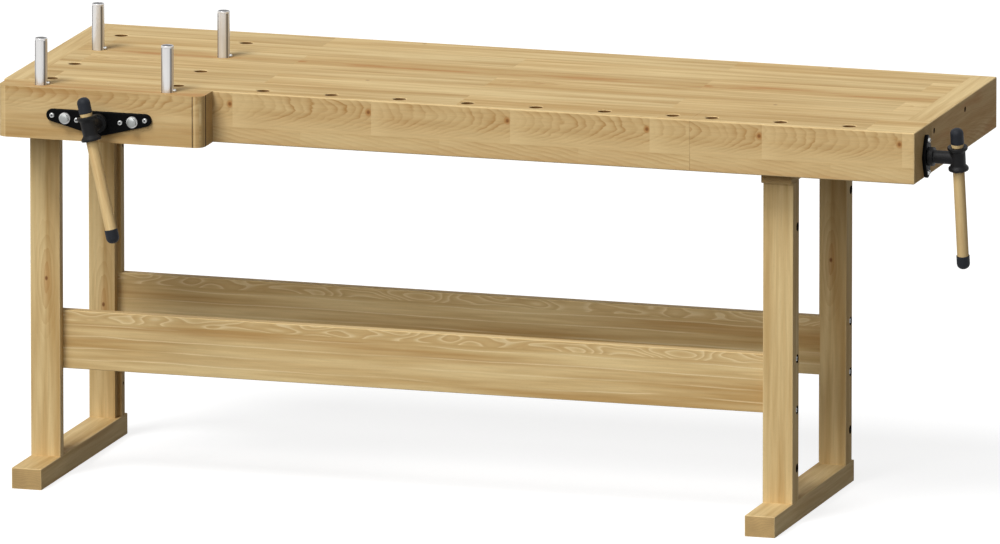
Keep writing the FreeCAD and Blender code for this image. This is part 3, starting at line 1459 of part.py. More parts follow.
def make_dogs(doc):
    """Two dogs in the front jaw and two in the middle board of the top."""
    back = "row_inset + 2 * line_pitch"
    make_dog(doc, "left_jaw_dog", "left_line", "chop_middle")
    make_dog(doc, "right_jaw_dog", "right_line", "chop_middle")
    make_dog(doc, "left_top_dog", "left_line", back)
    make_dog(doc, "right_top_dog", "right_line", back)


# ---------------------------------------------------------------------------------------------
# Whole bench
# ---------------------------------------------------------------------------------------------


def check(doc):
    """Stop if any object of the document failed or any sub-part has no sound shape."""
    failed = [o.Name for o in doc.Objects if {"Invalid", "Error"} & set(o.State)]
    bad = [p.Label for p in sub_parts if p.Shape.isNull() or not p.Shape.isValid()]
    if failed or bad:
        raise RuntimeError(f"failed objects {failed}, bad shapes {bad}")


def main():
    """Build the document, check it and write one STEP file for each sub-part."""
    doc = FreeCAD.newDocument("bench")
    write_sheet(doc)
    make_top(doc)
    make_trestles(doc)
    make_frame_fasteners(doc)
    make_front_vise(doc)
    make_tail_vise(doc)
    make_casting_screws(doc)
    make_dogs(doc)
    doc.recompute()
    check(doc)
    os.makedirs("parts", exist_ok=True)
    for piece in sub_parts:
        piece.Shape.exportStep(f"parts/{piece.Label}.step")
        print(f"{piece.Label}: {piece.Shape.Volume / 1000:.1f} cm3, {len(piece.Shape.Solids)} solids")


main()
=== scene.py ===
"""Dresses a woodworking bench: its wood, castings, screws, handles, caps and bench dogs.

All lengths are in metres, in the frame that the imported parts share: X along the bench towards the
tail vise, Y from the front to the back and Z up, with the origin on the floor.
"""

import json
import math

import bmesh
import bpy
import numpy as np
from bpy.props import FloatProperty, FloatVectorProperty, IntProperty, PointerProperty
from bpy.types import Operator, Panel, PropertyGroup
from mathutils import Matrix, Vector


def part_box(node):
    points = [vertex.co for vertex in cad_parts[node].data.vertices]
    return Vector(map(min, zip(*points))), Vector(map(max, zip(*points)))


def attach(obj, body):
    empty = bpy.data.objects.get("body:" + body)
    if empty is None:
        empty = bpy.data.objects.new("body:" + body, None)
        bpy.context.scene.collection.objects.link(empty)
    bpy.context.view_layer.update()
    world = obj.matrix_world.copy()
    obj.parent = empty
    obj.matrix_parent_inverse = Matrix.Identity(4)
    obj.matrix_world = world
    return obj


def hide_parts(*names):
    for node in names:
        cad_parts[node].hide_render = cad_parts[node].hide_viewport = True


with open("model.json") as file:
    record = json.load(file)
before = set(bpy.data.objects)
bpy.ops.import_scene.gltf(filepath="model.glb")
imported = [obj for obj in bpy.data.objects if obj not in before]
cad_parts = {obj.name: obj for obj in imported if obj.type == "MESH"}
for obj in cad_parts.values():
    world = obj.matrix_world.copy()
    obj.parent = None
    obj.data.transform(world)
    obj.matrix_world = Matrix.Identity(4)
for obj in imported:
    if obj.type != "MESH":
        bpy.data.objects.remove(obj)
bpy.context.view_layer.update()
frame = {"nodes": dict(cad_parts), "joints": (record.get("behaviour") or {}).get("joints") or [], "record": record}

bl_info = {
    "name": "Woodworking bench",
    "version": (1, 0, 0),
    "blender": (4, 5, 0),
    "location": "3D View > Sidebar > Bench",
    "description": "Dresses a woodworking bench with two vises over its packed parts",
    "category": "Object",
}

BEHAVIOUR = frame["record"]["behaviour"]
BODY_OF = {node: body for body, nodes in BEHAVIOUR["bodies"].items() for node in nodes}
JOINTS = {joint["name"]: joint for joint in frame["joints"]}

X, Y, Z = range(3)
GRAIN_MAP = "grain"
ARRIS = "arris"
SCRIBE = "scribe"
SHADE_BANDS = "rubbed"
SOCKET = "socket"
WASHER = "washer"
AIM = "aim"
SMOOTH_ANGLE = math.radians(35)
DISSOLVE_ANGLE = math.radians(0.3)
# Corners nearer to each other than this are one corner
MERGE_DISTANCE = 2e-6

# Wooden pieces: the axis of the grain, the finish of the long sides, and the axis of the sides that
# show flames, if there are any
BOARDS = {
    "left_end_cap": (Y, "Beech frame", X),
    "right_end_cap": (Y, "Beech frame", X),
    "front_rail": (X, "Beech top", Y),
    "rear_rail": (X, "Beech top", Y),
    "top_board_front": (X, "Beech top", None),
    "top_board_middle": (X, "Beech top", None),
    "top_board_rear": (X, "Beech top", None),
    "tail_cheek": (X, "Beech frame", None),
    "fixed_jaw_block": (Y, "Beech frame", None),
    "left_foot": (Y, "Beech frame", None),
    "right_foot": (Y, "Beech frame", None),
    "left_head_rail": (Y, "Beech frame", None),
    "right_head_rail": (Y, "Beech frame", None),
    "left_front_post": (Z, "Beech frame", None),
    "left_rear_post": (Z, "Beech frame", None),
    "right_front_post": (Z, "Beech frame", None),
    "right_rear_post": (Z, "Beech frame", None),
    "front_stretcher": (X, "Beech stretcher", None),
    "rear_stretcher": (X, "Beech stretcher", None),
    "front_chop": (X, "Beech top", Y),
    "tail_front_board": (X, "Beech top", Y),
    "tail_jaw_block": (X, "Beech top", None),
    "tail_end_block": (X, "Beech top", None),
    "tail_cover_board": (X, "Beech top", None),
    "locating_pegs": (Z, "Beech frame", None),
}
# Where the staves start: across the top, and up the front of the top and of the stretchers
STAVE_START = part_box("front_rail")[0].y + 0.0125
LAMELLA_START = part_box("front_rail")[0].z + 0.035
STRETCHER_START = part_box("front_stretcher")[1].z - 0.022
# Where staves meet end to end, on the top and on its flamed front
TOP_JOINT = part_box("front_rail")[0].x + 0.045
FLAME_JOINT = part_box("front_rail")[0].x + 0.454
# How far the flames of a piece are moved along, so that they don't run on from piece to piece
FLAME_SHIFT = {"tail_front_board": 0.0604, "front_chop": -0.134, "right_end_cap": 0.21}
# Where the posts show a knot, along X and Z
KNOTS = {
    "left_front_post": (-0.976, 0.430),
    "left_rear_post": (-0.979, 0.292),
    "right_rear_post": (0.636, 0.487),
}
# Boards whose flamed sides are not glued up from short pieces
PLANKS = {"front_chop": "Beech jaw", "left_end_cap": "Beech cap", "right_end_cap": "Beech cap"}
# Radius of the front jaw's rounded corner, and a little more than it
CORNER_ROUND = 0.021
OUTER_ROUND = CORNER_ROUND + 0.0005
# How deep a rounded edge reaches into a board
ARRIS_REACH = 0.0045
# Material slots of a board
LONG_SLOT, FLAMED_SLOT, END_SLOT, BORE_SLOT = range(4)
# A map that starts this far off shows no knot
NO_KNOT = {X: -10.0, Y: -10.0, Z: -5.0}


# ---------------------------------------------------------------------------------------------
# Settings
# ---------------------------------------------------------------------------------------------


def setting(kind, **fixed):
    """A function that declares a setting of one kind by its name, description and default."""

    def declare(name, description, default):
        return kind(name=name, description=description, default=default, **fixed)

    return declare


colour = setting(FloatVectorProperty, subtype="COLOR", size=3, min=0, max=1)
length = setting(FloatProperty, unit="LENGTH", min=0)
share = setting(FloatProperty, subtype="FACTOR", min=0, max=1)
strength = setting(FloatProperty, min=0)
angle = setting(FloatProperty, subtype="ANGLE")
direction = setting(FloatVectorProperty, subtype="DIRECTION", size=3)
position = setting(FloatVectorProperty, subtype="XYZ", size=3)


class BenchWood(PropertyGroup):
    """Colours and sizes of the wood."""

    light: colour("Light wood", "Lightest tone of the oiled beech", (0.71, 0.535, 0.268))
    dark: colour("Dark wood", "Tone of the dark bands in the beech", (0.505, 0.325, 0.128))
    flame: colour("Flames", "Tone of the flamed figure", (0.41, 0.215, 0.066))
    warm: colour("Warm wood", "Tone of reddish streaks", (0.45, 0.215, 0.065))
    knot: colour("Knots", "Tone of the small knots", (0.17, 0.06, 0.022))
    end: colour("End grain", "Tone of cut ends", (0.56, 0.375, 0.165))
    # Partly painted shade: the walls of the dog holes are much darker than the end grain, so that the holes read
    # dark
    bore: colour("Bores", "Tone of the walls of dog holes", (0.2, 0.1, 0.035))
    # Painted shade: a near-black tone for the walls of the holes in the trestles and end caps, standing for the
    # shade inside them
    recess: colour("Recesses", "Tone of the holes in the trestles", (0.028, 0.015, 0.007))
    # Painted highlight: this pale tone is laid on the rounded edges and the mouths of holes; the staves, flamed
    # lamellas and handles also use it as a pale wood tone
    edge: colour("Edges", "Tone of the rounded edges", (0.76, 0.57, 0.29))
    cream: colour("Pale lines", "Tone of the pale lines in the stretchers", (0.86, 0.71, 0.43))
    stave_width: length("Stave width", "Width of the glued staves of the top", 0.1025)
    stave_length: length("Stave length", "Length of the glued staves of the top", 0.897)
    lamella: length("Lamella", "Height of the upper lamella of the front", 0.075)
    flame_length: length("Flamed length", "Length of the pieces of the flamed lamella", 0.3055)
    flame_spacing: length("Flame spacing", "Distance from flame to flame", 0.022)
    scribe: length("Corner lines", "Width of the lines beside the rounded corner", 0.0021)


class BenchMetal(PropertyGroup):
    """Colours and sizes of the metal and rubber."""

    iron: colour("Cast iron", "Black paint of the castings", (0.0042, 0.0041, 0.0044))
    enamel: colour("Black enamel", "Paint of the flanges", (0.0016, 0.0016, 0.0017))
    steel: colour("Turned steel", "Dogs, rods and vise screws", (0.74, 0.73, 0.72))
    zinc: colour("Zinc plate", "Bolts and wood screws", (0.6, 0.61, 0.6))
    bolt: colour("Bolt steel", "Hexagonal heads of the guide bolts", (0.34, 0.35, 0.34))
    # Painted shade: the end cap bolts are near black so that their recesses read dark
    blackened: colour("Blackened steel", "Bolts of the frame", (0.012, 0.012, 0.013))
    # Painted shade: this dark steel lines the bottom of the wrench sockets so that they stay dark; the ends of the
    # dogs take it too
    oily: colour("Oily steel", "Wrench sockets and ends of the dogs", (0.09, 0.09, 0.095))
    bronze: colour("Bronze", "Nuts of the vise screws", (0.50, 0.32, 0.13))
    rubber: colour("Rubber", "Caps of the handles", (0.009, 0.0105, 0.014))
    cast_round: length("Cast edges", "Size of the grid that rounds the cast edges", 0.0011)
    flange_round: length("Flange edge", "Rounded front edge of the flanges", 0.0022)
    pitch: length("Thread pitch", "Travel of a vise screw in one turn", 0.006)
    thread_depth: length("Thread depth", "Depth of the thread of a vise screw", 0.0022)


class BenchTurned(PropertyGroup):
    """Sizes of the handles and the bench dogs."""

    handle_radius: length("Handle", "Radius of the handles", 0.0123)
    handle_collar: length("Handle collar", "Radius of the collar of a handle", 0.0132)
    handle_tenon: length("Handle tenon", "Radius of a handle inside its caps", 0.009)
    cap_radius: length("Cap", "Radius of the rubber caps", 0.014)
    cap_round: length("Cap round", "Rounded end of the rubber caps", 0.012)
    dog_radius: length("Dog", "Radius of the bench dogs", 0.0135)
    dog_chamfer: length("Dog chamfer", "Chamfered ends of the bench dogs", 0.0013)
    dog_groove: length("Dog groove", "Depth of the turned line below the head of a dog", 0.0005)
    # Painted shade: dark bands on each side of a dog, at this angle from the X axis, stand for the dark parts of
    # its reflection
    shade_band_angle: angle("Rubbed streaks", "Where a dog rubs in its hole, from the X axis", 0.7)
    shade_band_width: angle("Rubbed width", "Half the width of a rubbed streak", 0.28)
    facets: IntProperty(name="Facets", description="Facets of round pieces", min=12, default=64)


class BenchStage(PropertyGroup):
    """Floor, light and camera."""

    floor_size: length("Floor", "Side of the floor", 80.0)
    floor_tone: share("Floor tone", "Share of light that the floor throws back", 0.18)
    floor_glow: share("Floor glow", "Light that the floor gives off itself, as it is seen", 0.8)
    fill: share("Fill light", "Light from all around", 0.24)
    key: strength("Key light", "Strength of the light from the upper left", 2.06)
    key_from: direction("Key direction", "Where the key light stands", (-0.27, -0.487, 0.83))
    key_spread: angle("Key spread", "Angular size of the key light", 0.4)
    front: strength("Front light", "Strength of the broad light from the front", 1.2)
    front_from: direction("Front direction", "Where the front light stands", (-0.15, -0.88, 0.45))
    front_spread: angle("Front spread", "Angular size of the front light", 0.7)
    turn: angle("Turn", "Camera right of the front", 0.29604)
    rise: angle("Rise", "Camera above the horizon", 0.20616)
    lens: FloatProperty(name="Lens", description="Focal length", unit="CAMERA", default=905)
    view_width: length("View width", "Width that the camera sees at the bench", 2.11218)
    aim: position("Aim", "Middle of the view", (-0.028124, 0.0178, 0.464407))


# ---------------------------------------------------------------------------------------------
# Node trees
# ---------------------------------------------------------------------------------------------


class Wiring:
    """Adds nodes to one tree and joins them."""

    def __init__(self, tree):
        self.tree = tree
        self.link = tree.links.new

    def add(self, kind, inputs=None, **settings):
        """Add a node. Inputs are values or the outputs of other nodes."""
        node = self.tree.nodes.new(kind)
        for key, value in settings.items():
            setattr(node, key, value)
        for key, value in (inputs or {}).items():
            if isinstance(value, bpy.types.NodeSocket):
                self.link(value, node.inputs[key])
            else:
                node.inputs[key].default_value = value
        return node

    def math(self, operation, *values):
        """Work out a value."""
        return self.add("ShaderNodeMath", dict(enumerate(values)), operation=operation).outputs[0]

    def scaled(self, vector, factors):
        """Stretch a vector."""
        inputs = {0: vector, 1: factors}
        return self.add("ShaderNodeVectorMath", inputs, operation="MULTIPLY").outputs[0]

    def moved(self, vector, other):
        """Add two vectors."""
        return self.add("ShaderNodeVectorMath", {0: vector, 1: other}, operation="ADD").outputs[0]

    def times(self, first, second):
        """Multiply two values."""
        return self.math("MULTIPLY", first, second)

    def sized(self, vector, factor):
        """Stretch a vector or a colour by one factor."""
        inputs = {0: vector, "Scale": factor}
        return self.add("ShaderNodeVectorMath", inputs, operation="SCALE").outputs[0]

    def parts(self, vector):
        """X, Y and Z of a vector."""
        return self.add("ShaderNodeSeparateXYZ", {0: vector}).outputs

    def attribute(self, name):
        """A mask that the mesh carries."""
        return self.add("ShaderNodeAttribute", attribute_name=name).outputs["Fac"]

    def group(self, tree, inputs):
        """Place a shader node group."""
        return self.add("ShaderNodeGroup", inputs, node_tree=tree).outputs

    def noise(self, vector, factors, detail=2.0, roughness=0.5):
        """Soft noise whose scale differs along each axis."""
        inputs = {"Vector": self.scaled(vector, factors), "Scale": 1.0}
        inputs.update({"Detail": detail, "Roughness": roughness})
        return self.add("ShaderNodeTexNoise", inputs).outputs["Fac"]

    def span(self, value, low, high, to_low=0.0, to_high=1.0):
        """Stretch a span of values onto another, and stop at its ends."""
        inputs = {0: value, 1: low, 2: high, 3: to_low, 4: to_high}
        return self.add("ShaderNodeMapRange", inputs).outputs[0]

    def falling(self, value, low, high):
        """1 below a span of values, 0 above it."""
        return self.span(value, low, high, 1.0, 0.0)

    def ridge(self, share, power, crest):
        """A line that grows over a share and ends soon after its crest."""
        return self.times(self.math("POWER", share, power), self.falling(share, crest, 1.0))

    def mix(self, factor, first, second):
        """Mix two colours."""
        inputs = {0: factor, 6: first, 7: second}
        return self.add("ShaderNodeMix", inputs, data_type="RGBA").outputs[2]

    def bump(self, height, distance):
        """Turn a height into a normal."""
        inputs = {"Height": height, "Distance": distance, "Strength": 1.0}
        return self.add("ShaderNodeBump", inputs).outputs["Normal"]

    def spot(self, across, up, middle, reach):
        """1 in the middle of a small oval spot, 0 outside it."""
        square = 0.0
        for value, centre, size in zip((across, up), middle, reach):
            share = self.math("DIVIDE", self.math("SUBTRACT", value, centre), size)
            square = self.math("MULTIPLY_ADD", share, share, square)
        return self.falling(square, 0.15, 1.0)


def new_group(name, kind, inputs, outputs):
    """Start a node group with named inputs and outputs."""
    tree = bpy.data.node_groups.new(name, kind)
    for label, socket_type, default in inputs:
        socket = tree.interface.new_socket(label, in_out="INPUT", socket_type=socket_type)
        if default is not None:
            socket.default_value = default
    for label, socket_type in outputs:
        tree.interface.new_socket(label, in_out="OUTPUT", socket_type=socket_type)
    source = tree.nodes.new("NodeGroupInput")
    sink = tree.nodes.new("NodeGroupOutput")
    return Wiring(tree), source.outputs, sink.inputs


def shared_group(name, inputs, outputs, kind="ShaderNodeTree"):
    """Turn a function that wires a node group into one that finds it, or makes it once."""

    def wrap(wire):
        def find():
            """Find the node group by its name, or make it the first time."""
            if name not in bpy.data.node_groups:
                wire(*new_group(name, kind, inputs, outputs))
            return bpy.data.node_groups[name]

        return find

    return wrap


FLOAT = "NodeSocketFloat"
VECTOR = "NodeSocketVector"
INTEGER = "NodeSocketInt"
GEOMETRY = "NodeSocketGeometry"
MATERIAL = "NodeSocketMaterial"


@shared_group(
    "Glued staves",
    [
        ("Vector", VECTOR, None),
        ("Width", FLOAT, 0.1),
        ("Length", FLOAT, 0.9),
        ("Start", FLOAT, 0.0),
        ("Stagger", FLOAT, 0.5),
        ("Variety", FLOAT, 1.0),
    ],
    [("Grain", VECTOR), ("Rank", FLOAT), ("Along", FLOAT), ("Across", FLOAT)],
)
def stave_group(wiring, source, sink):
    """Splits a surface into glued staves, each with its own place in the grain.

    Along and Across are lengths from a stave's own corner. Every fourth stave has the same rank.
    """
    parts = wiring.parts(source["Vector"])
    across = wiring.math("DIVIDE", parts[1], source["Width"])
    row = wiring.math("FLOOR", across)
    odd = wiring.math("FLOORED_MODULO", row, 2.0)
    moved = wiring.math("SUBTRACT", parts[0], source["Start"])
    along = wiring.math("DIVIDE", moved, source["Length"])
    along = wiring.math("SUBTRACT", along, wiring.times(odd, source["Stagger"]))
    column = wiring.math("FLOOR", along)
    cell = wiring.add("ShaderNodeCombineXYZ", {0: row, 1: column}).outputs[0]
    chance = wiring.add("ShaderNodeTexWhiteNoise", {"Vector": cell}, noise_dimensions="3D").outputs
    shift = wiring.sized(wiring.scaled(chance["Color"], (7.0, 5.0, 9.0)), source["Variety"])
    share = wiring.math("SUBTRACT", along, column)
    reach = wiring.times(share, source["Length"])
    corner = wiring.add("ShaderNodeCombineXYZ", {0: reach, 1: parts[1]}).outputs[0]
    wiring.link(wiring.moved(corner, shift), sink["Grain"])
    wiring.link(wiring.math("FLOORED_MODULO", row, 4.0), sink["Rank"])
    wiring.link(reach, sink["Along"])
    share = wiring.math("SUBTRACT", across, row)
    wiring.link(wiring.times(share, source["Width"]), sink["Across"])


@shared_group(
    "Beech grain",
    [("Vector", VECTOR, None)],
    [("Band", FLOAT), ("Fibre", FLOAT), ("Fleck", FLOAT), ("Height", FLOAT)],
)
def grain_group(wiring, source, sink):
    """Grain of beech: broad bands, fine fibres and short dark flecks."""
    vector = source["Vector"]
    broad = wiring.noise(vector, (0.9, 15.0, 5.0), 2.0, 0.5)
    narrow = wiring.noise(vector, (2.6, 62.0, 20.0), 3.0, 0.55)
    band = wiring.math("MULTIPLY_ADD", narrow, 0.45, wiring.times(broad, 0.55))
    wiring.link(wiring.span(band, 0.4, 0.6), sink["Band"])
    fibre = wiring.noise(vector, (11.0, 210.0, 90.0), 4.0, 0.62)
    wiring.link(wiring.span(fibre, 0.3, 0.7), sink["Fibre"])
    fleck = wiring.noise(vector, (130.0, 1500.0, 400.0), 1.0)
    fleck = wiring.span(fleck, 0.62, 0.72)
    wiring.link(fleck, sink["Fleck"])
    wiring.link(wiring.math("MULTIPLY_ADD", fleck, -0.5, fibre), sink["Height"])


@shared_group(
    "Flamed figure",
    [
        ("Vector", VECTOR, None),
        ("Spacing", FLOAT, 0.022),
        ("Tip", FLOAT, 0.05),
        ("Reach", FLOAT, 78.0),
    ],
    [("Flame", FLOAT), ("Loop", FLOAT)],
)
def flame_group(wiring, source, sink):
    """Figure of flat-sawn beech: nested arcs that point along the board, and closed loops."""
    vector = source["Vector"]
    parts = wiring.parts(vector)
    off = wiring.math("SUBTRACT", parts[1], source["Tip"])
    swept = wiring.times(wiring.times(off, off), source["Reach"])
    place = wiring.math("ADD", parts[0], swept)
    wobble = wiring.noise(vector, (13.0, 30.0, 3.0), 3.0, 0.55)
    place = wiring.math("MULTIPLY_ADD", wobble, 0.055, place)
    count = wiring.math("DIVIDE", place, source["Spacing"])
    number = wiring.math("FLOOR", count)
    share = wiring.math("SUBTRACT", count, number)
    line = wiring.ridge(share, 1.8, 0.86)
    cell = {"W": number}
    chance = wiring.add("ShaderNodeTexWhiteNoise", cell, noise_dimensions="1D").outputs["Value"]
    patch = wiring.span(wiring.noise(vector, (8.0, 30.0, 3.0), 2.0, 0.5), 0.35, 0.6, 0.35, 1.0)
    depth = wiring.times(patch, wiring.span(chance, 0.0, 1.0, 0.45, 1.3))
    wiring.link(wiring.times(line, depth), sink["Flame"])
    field = wiring.noise(vector, (7.5, 28.0, 3.0), 1.0, 0.4)
    share = wiring.math("FRACT", wiring.times(field, 11.0))
    wiring.link(wiring.ridge(share, 1.5, 0.8), sink["Loop"])


@shared_group(
    "Cast grit",
    [("Vector", VECTOR, None), ("Grit", FLOAT, 900.0)],
    [("Grit", FLOAT), ("Cloud", FLOAT), ("Height", FLOAT)],
)
def cast_group(wiring, source, sink):
    """Sand-cast or moulded surface: fine grit and soft unevenness."""
    place = wiring.sized(source["Vector"], source["Grit"])
    inputs = {"Vector": place, "Scale": 1.0, "Detail": 2.0, "Roughness": 0.6}
    grit = wiring.add("ShaderNodeTexNoise", inputs).outputs["Fac"]
    cloud = wiring.noise(source["Vector"], (60.0, 60.0, 60.0), 3.0, 0.6)
    wiring.link(wiring.span(grit, 0.55, 0.75), sink["Grit"])
    wiring.link(wiring.span(cloud, 0.3, 0.7), sink["Cloud"])
    wiring.link(wiring.math("MULTIPLY_ADD", cloud, 0.6, grit), sink["Height"])


@shared_group(
    "Lathe marks",
    [("Vector", VECTOR, None)],
    [("Mark", FLOAT), ("Smudge", FLOAT)],
)
def lathe_group(wiring, source, sink):
    """Turned metal: fine marks around the piece, with scratches and smudges."""
    mark = wiring.noise(source["Vector"], (25.0, 25.0, 1900.0), 3.0, 0.7)
    smudge = wiring.noise(source["Vector"], (40.0, 40.0, 14.0), 2.0, 0.5)
    wiring.link(wiring.span(mark, 0.3, 0.7), sink["Mark"])
    wiring.link(wiring.span(smudge, 0.35, 0.7), sink["Smudge"])


# ---------------------------------------------------------------------------------------------
# Materials
# ---------------------------------------------------------------------------------------------


# How far the painted highlight on the rounded edges and the scribed lines cover the wood, and the tone of the
# lines
EDGE_HIGHLIGHT = 0.55
LINE_DEPTH = 0.93
LINE_TONE = (0.01, 0.007, 0.005, 1)


def start_material(name):
    """A material, its wiring and the inputs of its shader."""
    material = bpy.data.materials.new(name)
    material.use_nodes = True
    material.node_tree.nodes.clear()
    wiring = Wiring(material.node_tree)
    shader = wiring.add("ShaderNodeBsdfPrincipled")
    wiring.add("ShaderNodeOutputMaterial", {"Surface": shader.outputs[0]})
    return material, wiring, shader.inputs


def opaque(rgb, factor=1.0):
    """A colour with its alpha, made lighter or darker by a factor."""
    return (*(factor * c for c in rgb), 1.0)


def highlight_and_scribe(wiring, tone):
    """Lay the painted highlight on the rounded edges and the dark scribed lines over a tone."""
    edge = opaque(bpy.context.scene.bench_wood.edge)
    tone = wiring.mix(wiring.times(wiring.attribute(ARRIS), EDGE_HIGHLIGHT), tone, edge)
    return wiring.mix(wiring.times(wiring.attribute(SCRIBE), LINE_DEPTH), tone, LINE_TONE)


class Beech:
    """A beech material while it is being wired: staves and grain first, then stains over them."""

    def __init__(self, name, staves=None):
        self.wood = bpy.context.scene.bench_wood
        self.material, self.wiring, self.shader = start_material(name)
        self.place = self.wiring.add("ShaderNodeUVMap", uv_map=GRAIN_MAP).outputs[0]
        parts = self.wiring.parts(self.place)
        self.along, self.across = parts[0], parts[1]
        grain = self.place
        if staves:
            self.stave = self.wiring.group(stave_group(), {"Vector": self.place, **staves})
            grain = self.stave["Grain"]
        self.grain = self.wiring.group(grain_group(), {"Vector": grain})
        tones = opaque(self.wood.dark), opaque(self.wood.light)
        self.tone = self.wiring.mix(self.grain["Band"], *tones)

    def flames(self, spacing, tip, reach):
        """Masks of a flamed figure."""
        inputs = {"Vector": self.place, "Spacing": spacing, "Tip": tip, "Reach": reach}
        return self.wiring.group(flame_group(), inputs)

    def cloud(self, scales, *span, detail=2.0, roughness=0.5):
        """Soft patches or streaks, with one scale along the grain and one across it."""
        noise = self.wiring.noise(self.place, (*scales, 1.0), detail, roughness)
        return self.wiring.span(noise, *span)

    def rank(self, number):
        """1 on every fourth stave, 0 elsewhere."""
        return self.wiring.math("COMPARE", self.stave["Rank"], float(number), 0.5)

    def stain(self, colour_name, amount, *masks):
        """Mix a colour of the wood in, where all the masks are set."""
        for mask in masks:
            amount = self.wiring.times(mask, amount)
        self.tone = self.wiring.mix(amount, self.tone, opaque(getattr(self.wood, colour_name)))

    def tint(self, factor):
        """Make the tone lighter or darker."""
        self.tone = self.wiring.sized(self.tone, factor)

    def finish(self):
        """Add fibres, flecks, the painted highlight on the rounded edges and scribed lines, and join the shader.
        """
        wiring, fibre = self.wiring, self.grain["Fibre"]
        self.tint(wiring.span(fibre, 0.0, 1.0, 0.93, 1.06))
        self.stain("flame", 0.2, self.grain["Fleck"])
        wiring.link(highlight_and_scribe(wiring, self.tone), self.shader["Base Color"])
        wiring.link(wiring.span(fibre, 0.0, 1.0, 0.68, 0.56), self.shader["Roughness"])
        self.shader["Specular IOR Level"].default_value = 0.1
        wiring.link(wiring.bump(self.grain["Height"], 0.00012), self.shader["Normal"])
        return self.material


def top_wood(name):
    """Top of the bench: long staves, each lighter at its start, with pale lines between them."""
    wood = bpy.context.scene.bench_wood
    width, stave_length = wood.stave_width, wood.stave_length
    staves = {"Width": width, "Length": stave_length, "Start": TOP_JOINT, "Stagger": 0.494}
    beech = Beech(name, staves)
    wiring, along, across = beech.wiring, beech.stave["Along"], beech.stave["Across"]
    beech.tint(wiring.span(along, 0.0, stave_length, 1.045, 0.95))
    near = wiring.span(across, width - 0.011, width - 0.003)
    patch = beech.cloud((2.4, 9.0), 0.42, 0.62)
    beech.stain("edge", 0.75, near, patch)
    red = beech.rank(3)
    zone = wiring.times(wiring.span(across, 0.004, 0.022), wiring.falling(across, 0.05, 0.078))
    streak = beech.cloud((4.5, 40.0), 0.46, 0.66, detail=3.0, roughness=0.6)
    beech.stain("dark", 0.7, red, zone)
    beech.stain("warm", 0.8, red, zone, streak)
    flame = beech.flames(0.03, 0.264, 60.0)["Flame"]
    beech.stain("flame", 0.55, beech.rank(2), flame, wiring.falling(along, 0.05, 0.26))
    spot = wiring.spot(along, across, (0.006, 0.036), (0.016, 0.009))
    beech.stain("warm", 0.9, red, spot)
    spot = wiring.spot(along, across, (0.2, 0.09), (0.006, 0.005))
    beech.stain("knot", 0.6, beech.rank(1), spot)
    return beech.finish()


def flamed_wood(name):
    """Front of the top: a flamed upper lamella over a quieter one."""
    wood = bpy.context.scene.bench_wood
    lamella, piece = wood.lamella, wood.flame_length
    staves = {"Width": lamella, "Length": piece, "Start": FLAME_JOINT, "Stagger": 0.49}
    beech = Beech(name, {**staves, "Variety": 0.0})
    wiring, stave = beech.wiring, beech.stave
    upper = wiring.math("GREATER_THAN", beech.across, 0.0)
    lower = wiring.math("SUBTRACT", 1.0, upper)
    beech.stain("light", 0.45)
    beech.stain("warm", 0.1)
    cloud = beech.cloud((5.0, 16.0), 0.4, 0.66)
    beech.stain("warm", 0.16, cloud)
    head = wiring.falling(stave["Along"], 0.0, 0.05)
    beech.stain("edge", 0.5, upper, head)
    foot = wiring.falling(beech.across, 0.008, 0.034)
    beech.stain("edge", 0.45, upper, foot)
    tall = beech.flames(wood.flame_spacing, 0.7 * lamella, 42.0)["Flame"]
    start = wiring.span(stave["Along"], 0.005, 0.09, 0.25, 1.0)
    fade = wiring.span(beech.across, 0.002, 0.03)
    beech.stain("flame", 1.0, upper, tall, start, fade)
    low = beech.flames(2.0 * wood.flame_spacing, -1.3 * lamella, 30.0)["Flame"]
    beech.stain("flame", 0.5, lower, low)
    beech.stain("warm", 0.3, wiring.falling(beech.across, -0.034, -0.024))
    middle = (piece - 0.006, 0.66 * lamella)
    beech.stain("warm", 0.9, wiring.spot(stave["Along"], beech.across, middle, (0.009, 0.01)))
    beech.stain("knot", 0.7, wiring.spot(stave["Along"], beech.across, middle, (0.0045, 0.005)))
    return beech.finish()


def plank_wood(name, spacing, tip, fade, warmth):
    """Flamed side of one plank, with flames that fade in over a span across it."""
    beech = Beech(name)
    wiring = beech.wiring
    near = wiring.span(beech.across, *fade)
    tall = beech.flames(spacing, tip, 60.0)["Flame"]
    patch = beech.cloud((7.0, 9.0), 0.36, 0.55, 0.45, 1.0)
    beech.stain("warm", warmth)
    beech.stain("flame", 1.0, tall, near, patch)
    soft = beech.cloud((1.6, 30.0), 0.46, 0.62)
    beech.stain("flame", 0.3, soft, wiring.falling(beech.across, 0.0, 0.03))
    streak = beech.cloud((5.0, 26.0), 0.5, 0.68, detail=3.0)
    beech.stain("warm", 2.5 * warmth, streak)
    return beech.finish()


def stretcher_wood(name):
    """Stretchers: a looped strip along the upper edge, and light lines below it."""
    beech = Beech(name)
    wiring = beech.wiring
    upper = wiring.math("GREATER_THAN", beech.across, 0.0)
    lower = wiring.math("SUBTRACT", 1.0, upper)
    loop = beech.flames(0.03, 0.01, 60.0)["Loop"]
    beech.stain("light", 0.5, upper)
    beech.stain("cream", 0.42, upper, wiring.falling(loop, 0.0, 0.2))
    beech.stain("flame", 0.5, upper, loop)
    soft = beech.cloud((1.4, 36.0), 0.44, 0.6)
    middle = wiring.span(beech.across, -0.06, -0.03, 0.35, 1.0)
    beech.stain("flame", 0.4, lower, soft, middle)
    bend = wiring.noise(beech.place, (3.0, 9.0, 1.0), 2.0)
    depth = wiring.math("MULTIPLY_ADD", bend, 0.02, beech.across)
    share = wiring.math("FRACT", wiring.math("DIVIDE", depth, 0.0245))
    patch = beech.cloud((3.4, 22.0), 0.38, 0.54)
    beech.stain("cream", 0.7, lower, wiring.falling(share, 0.0, 0.13), patch)
    return beech.finish()


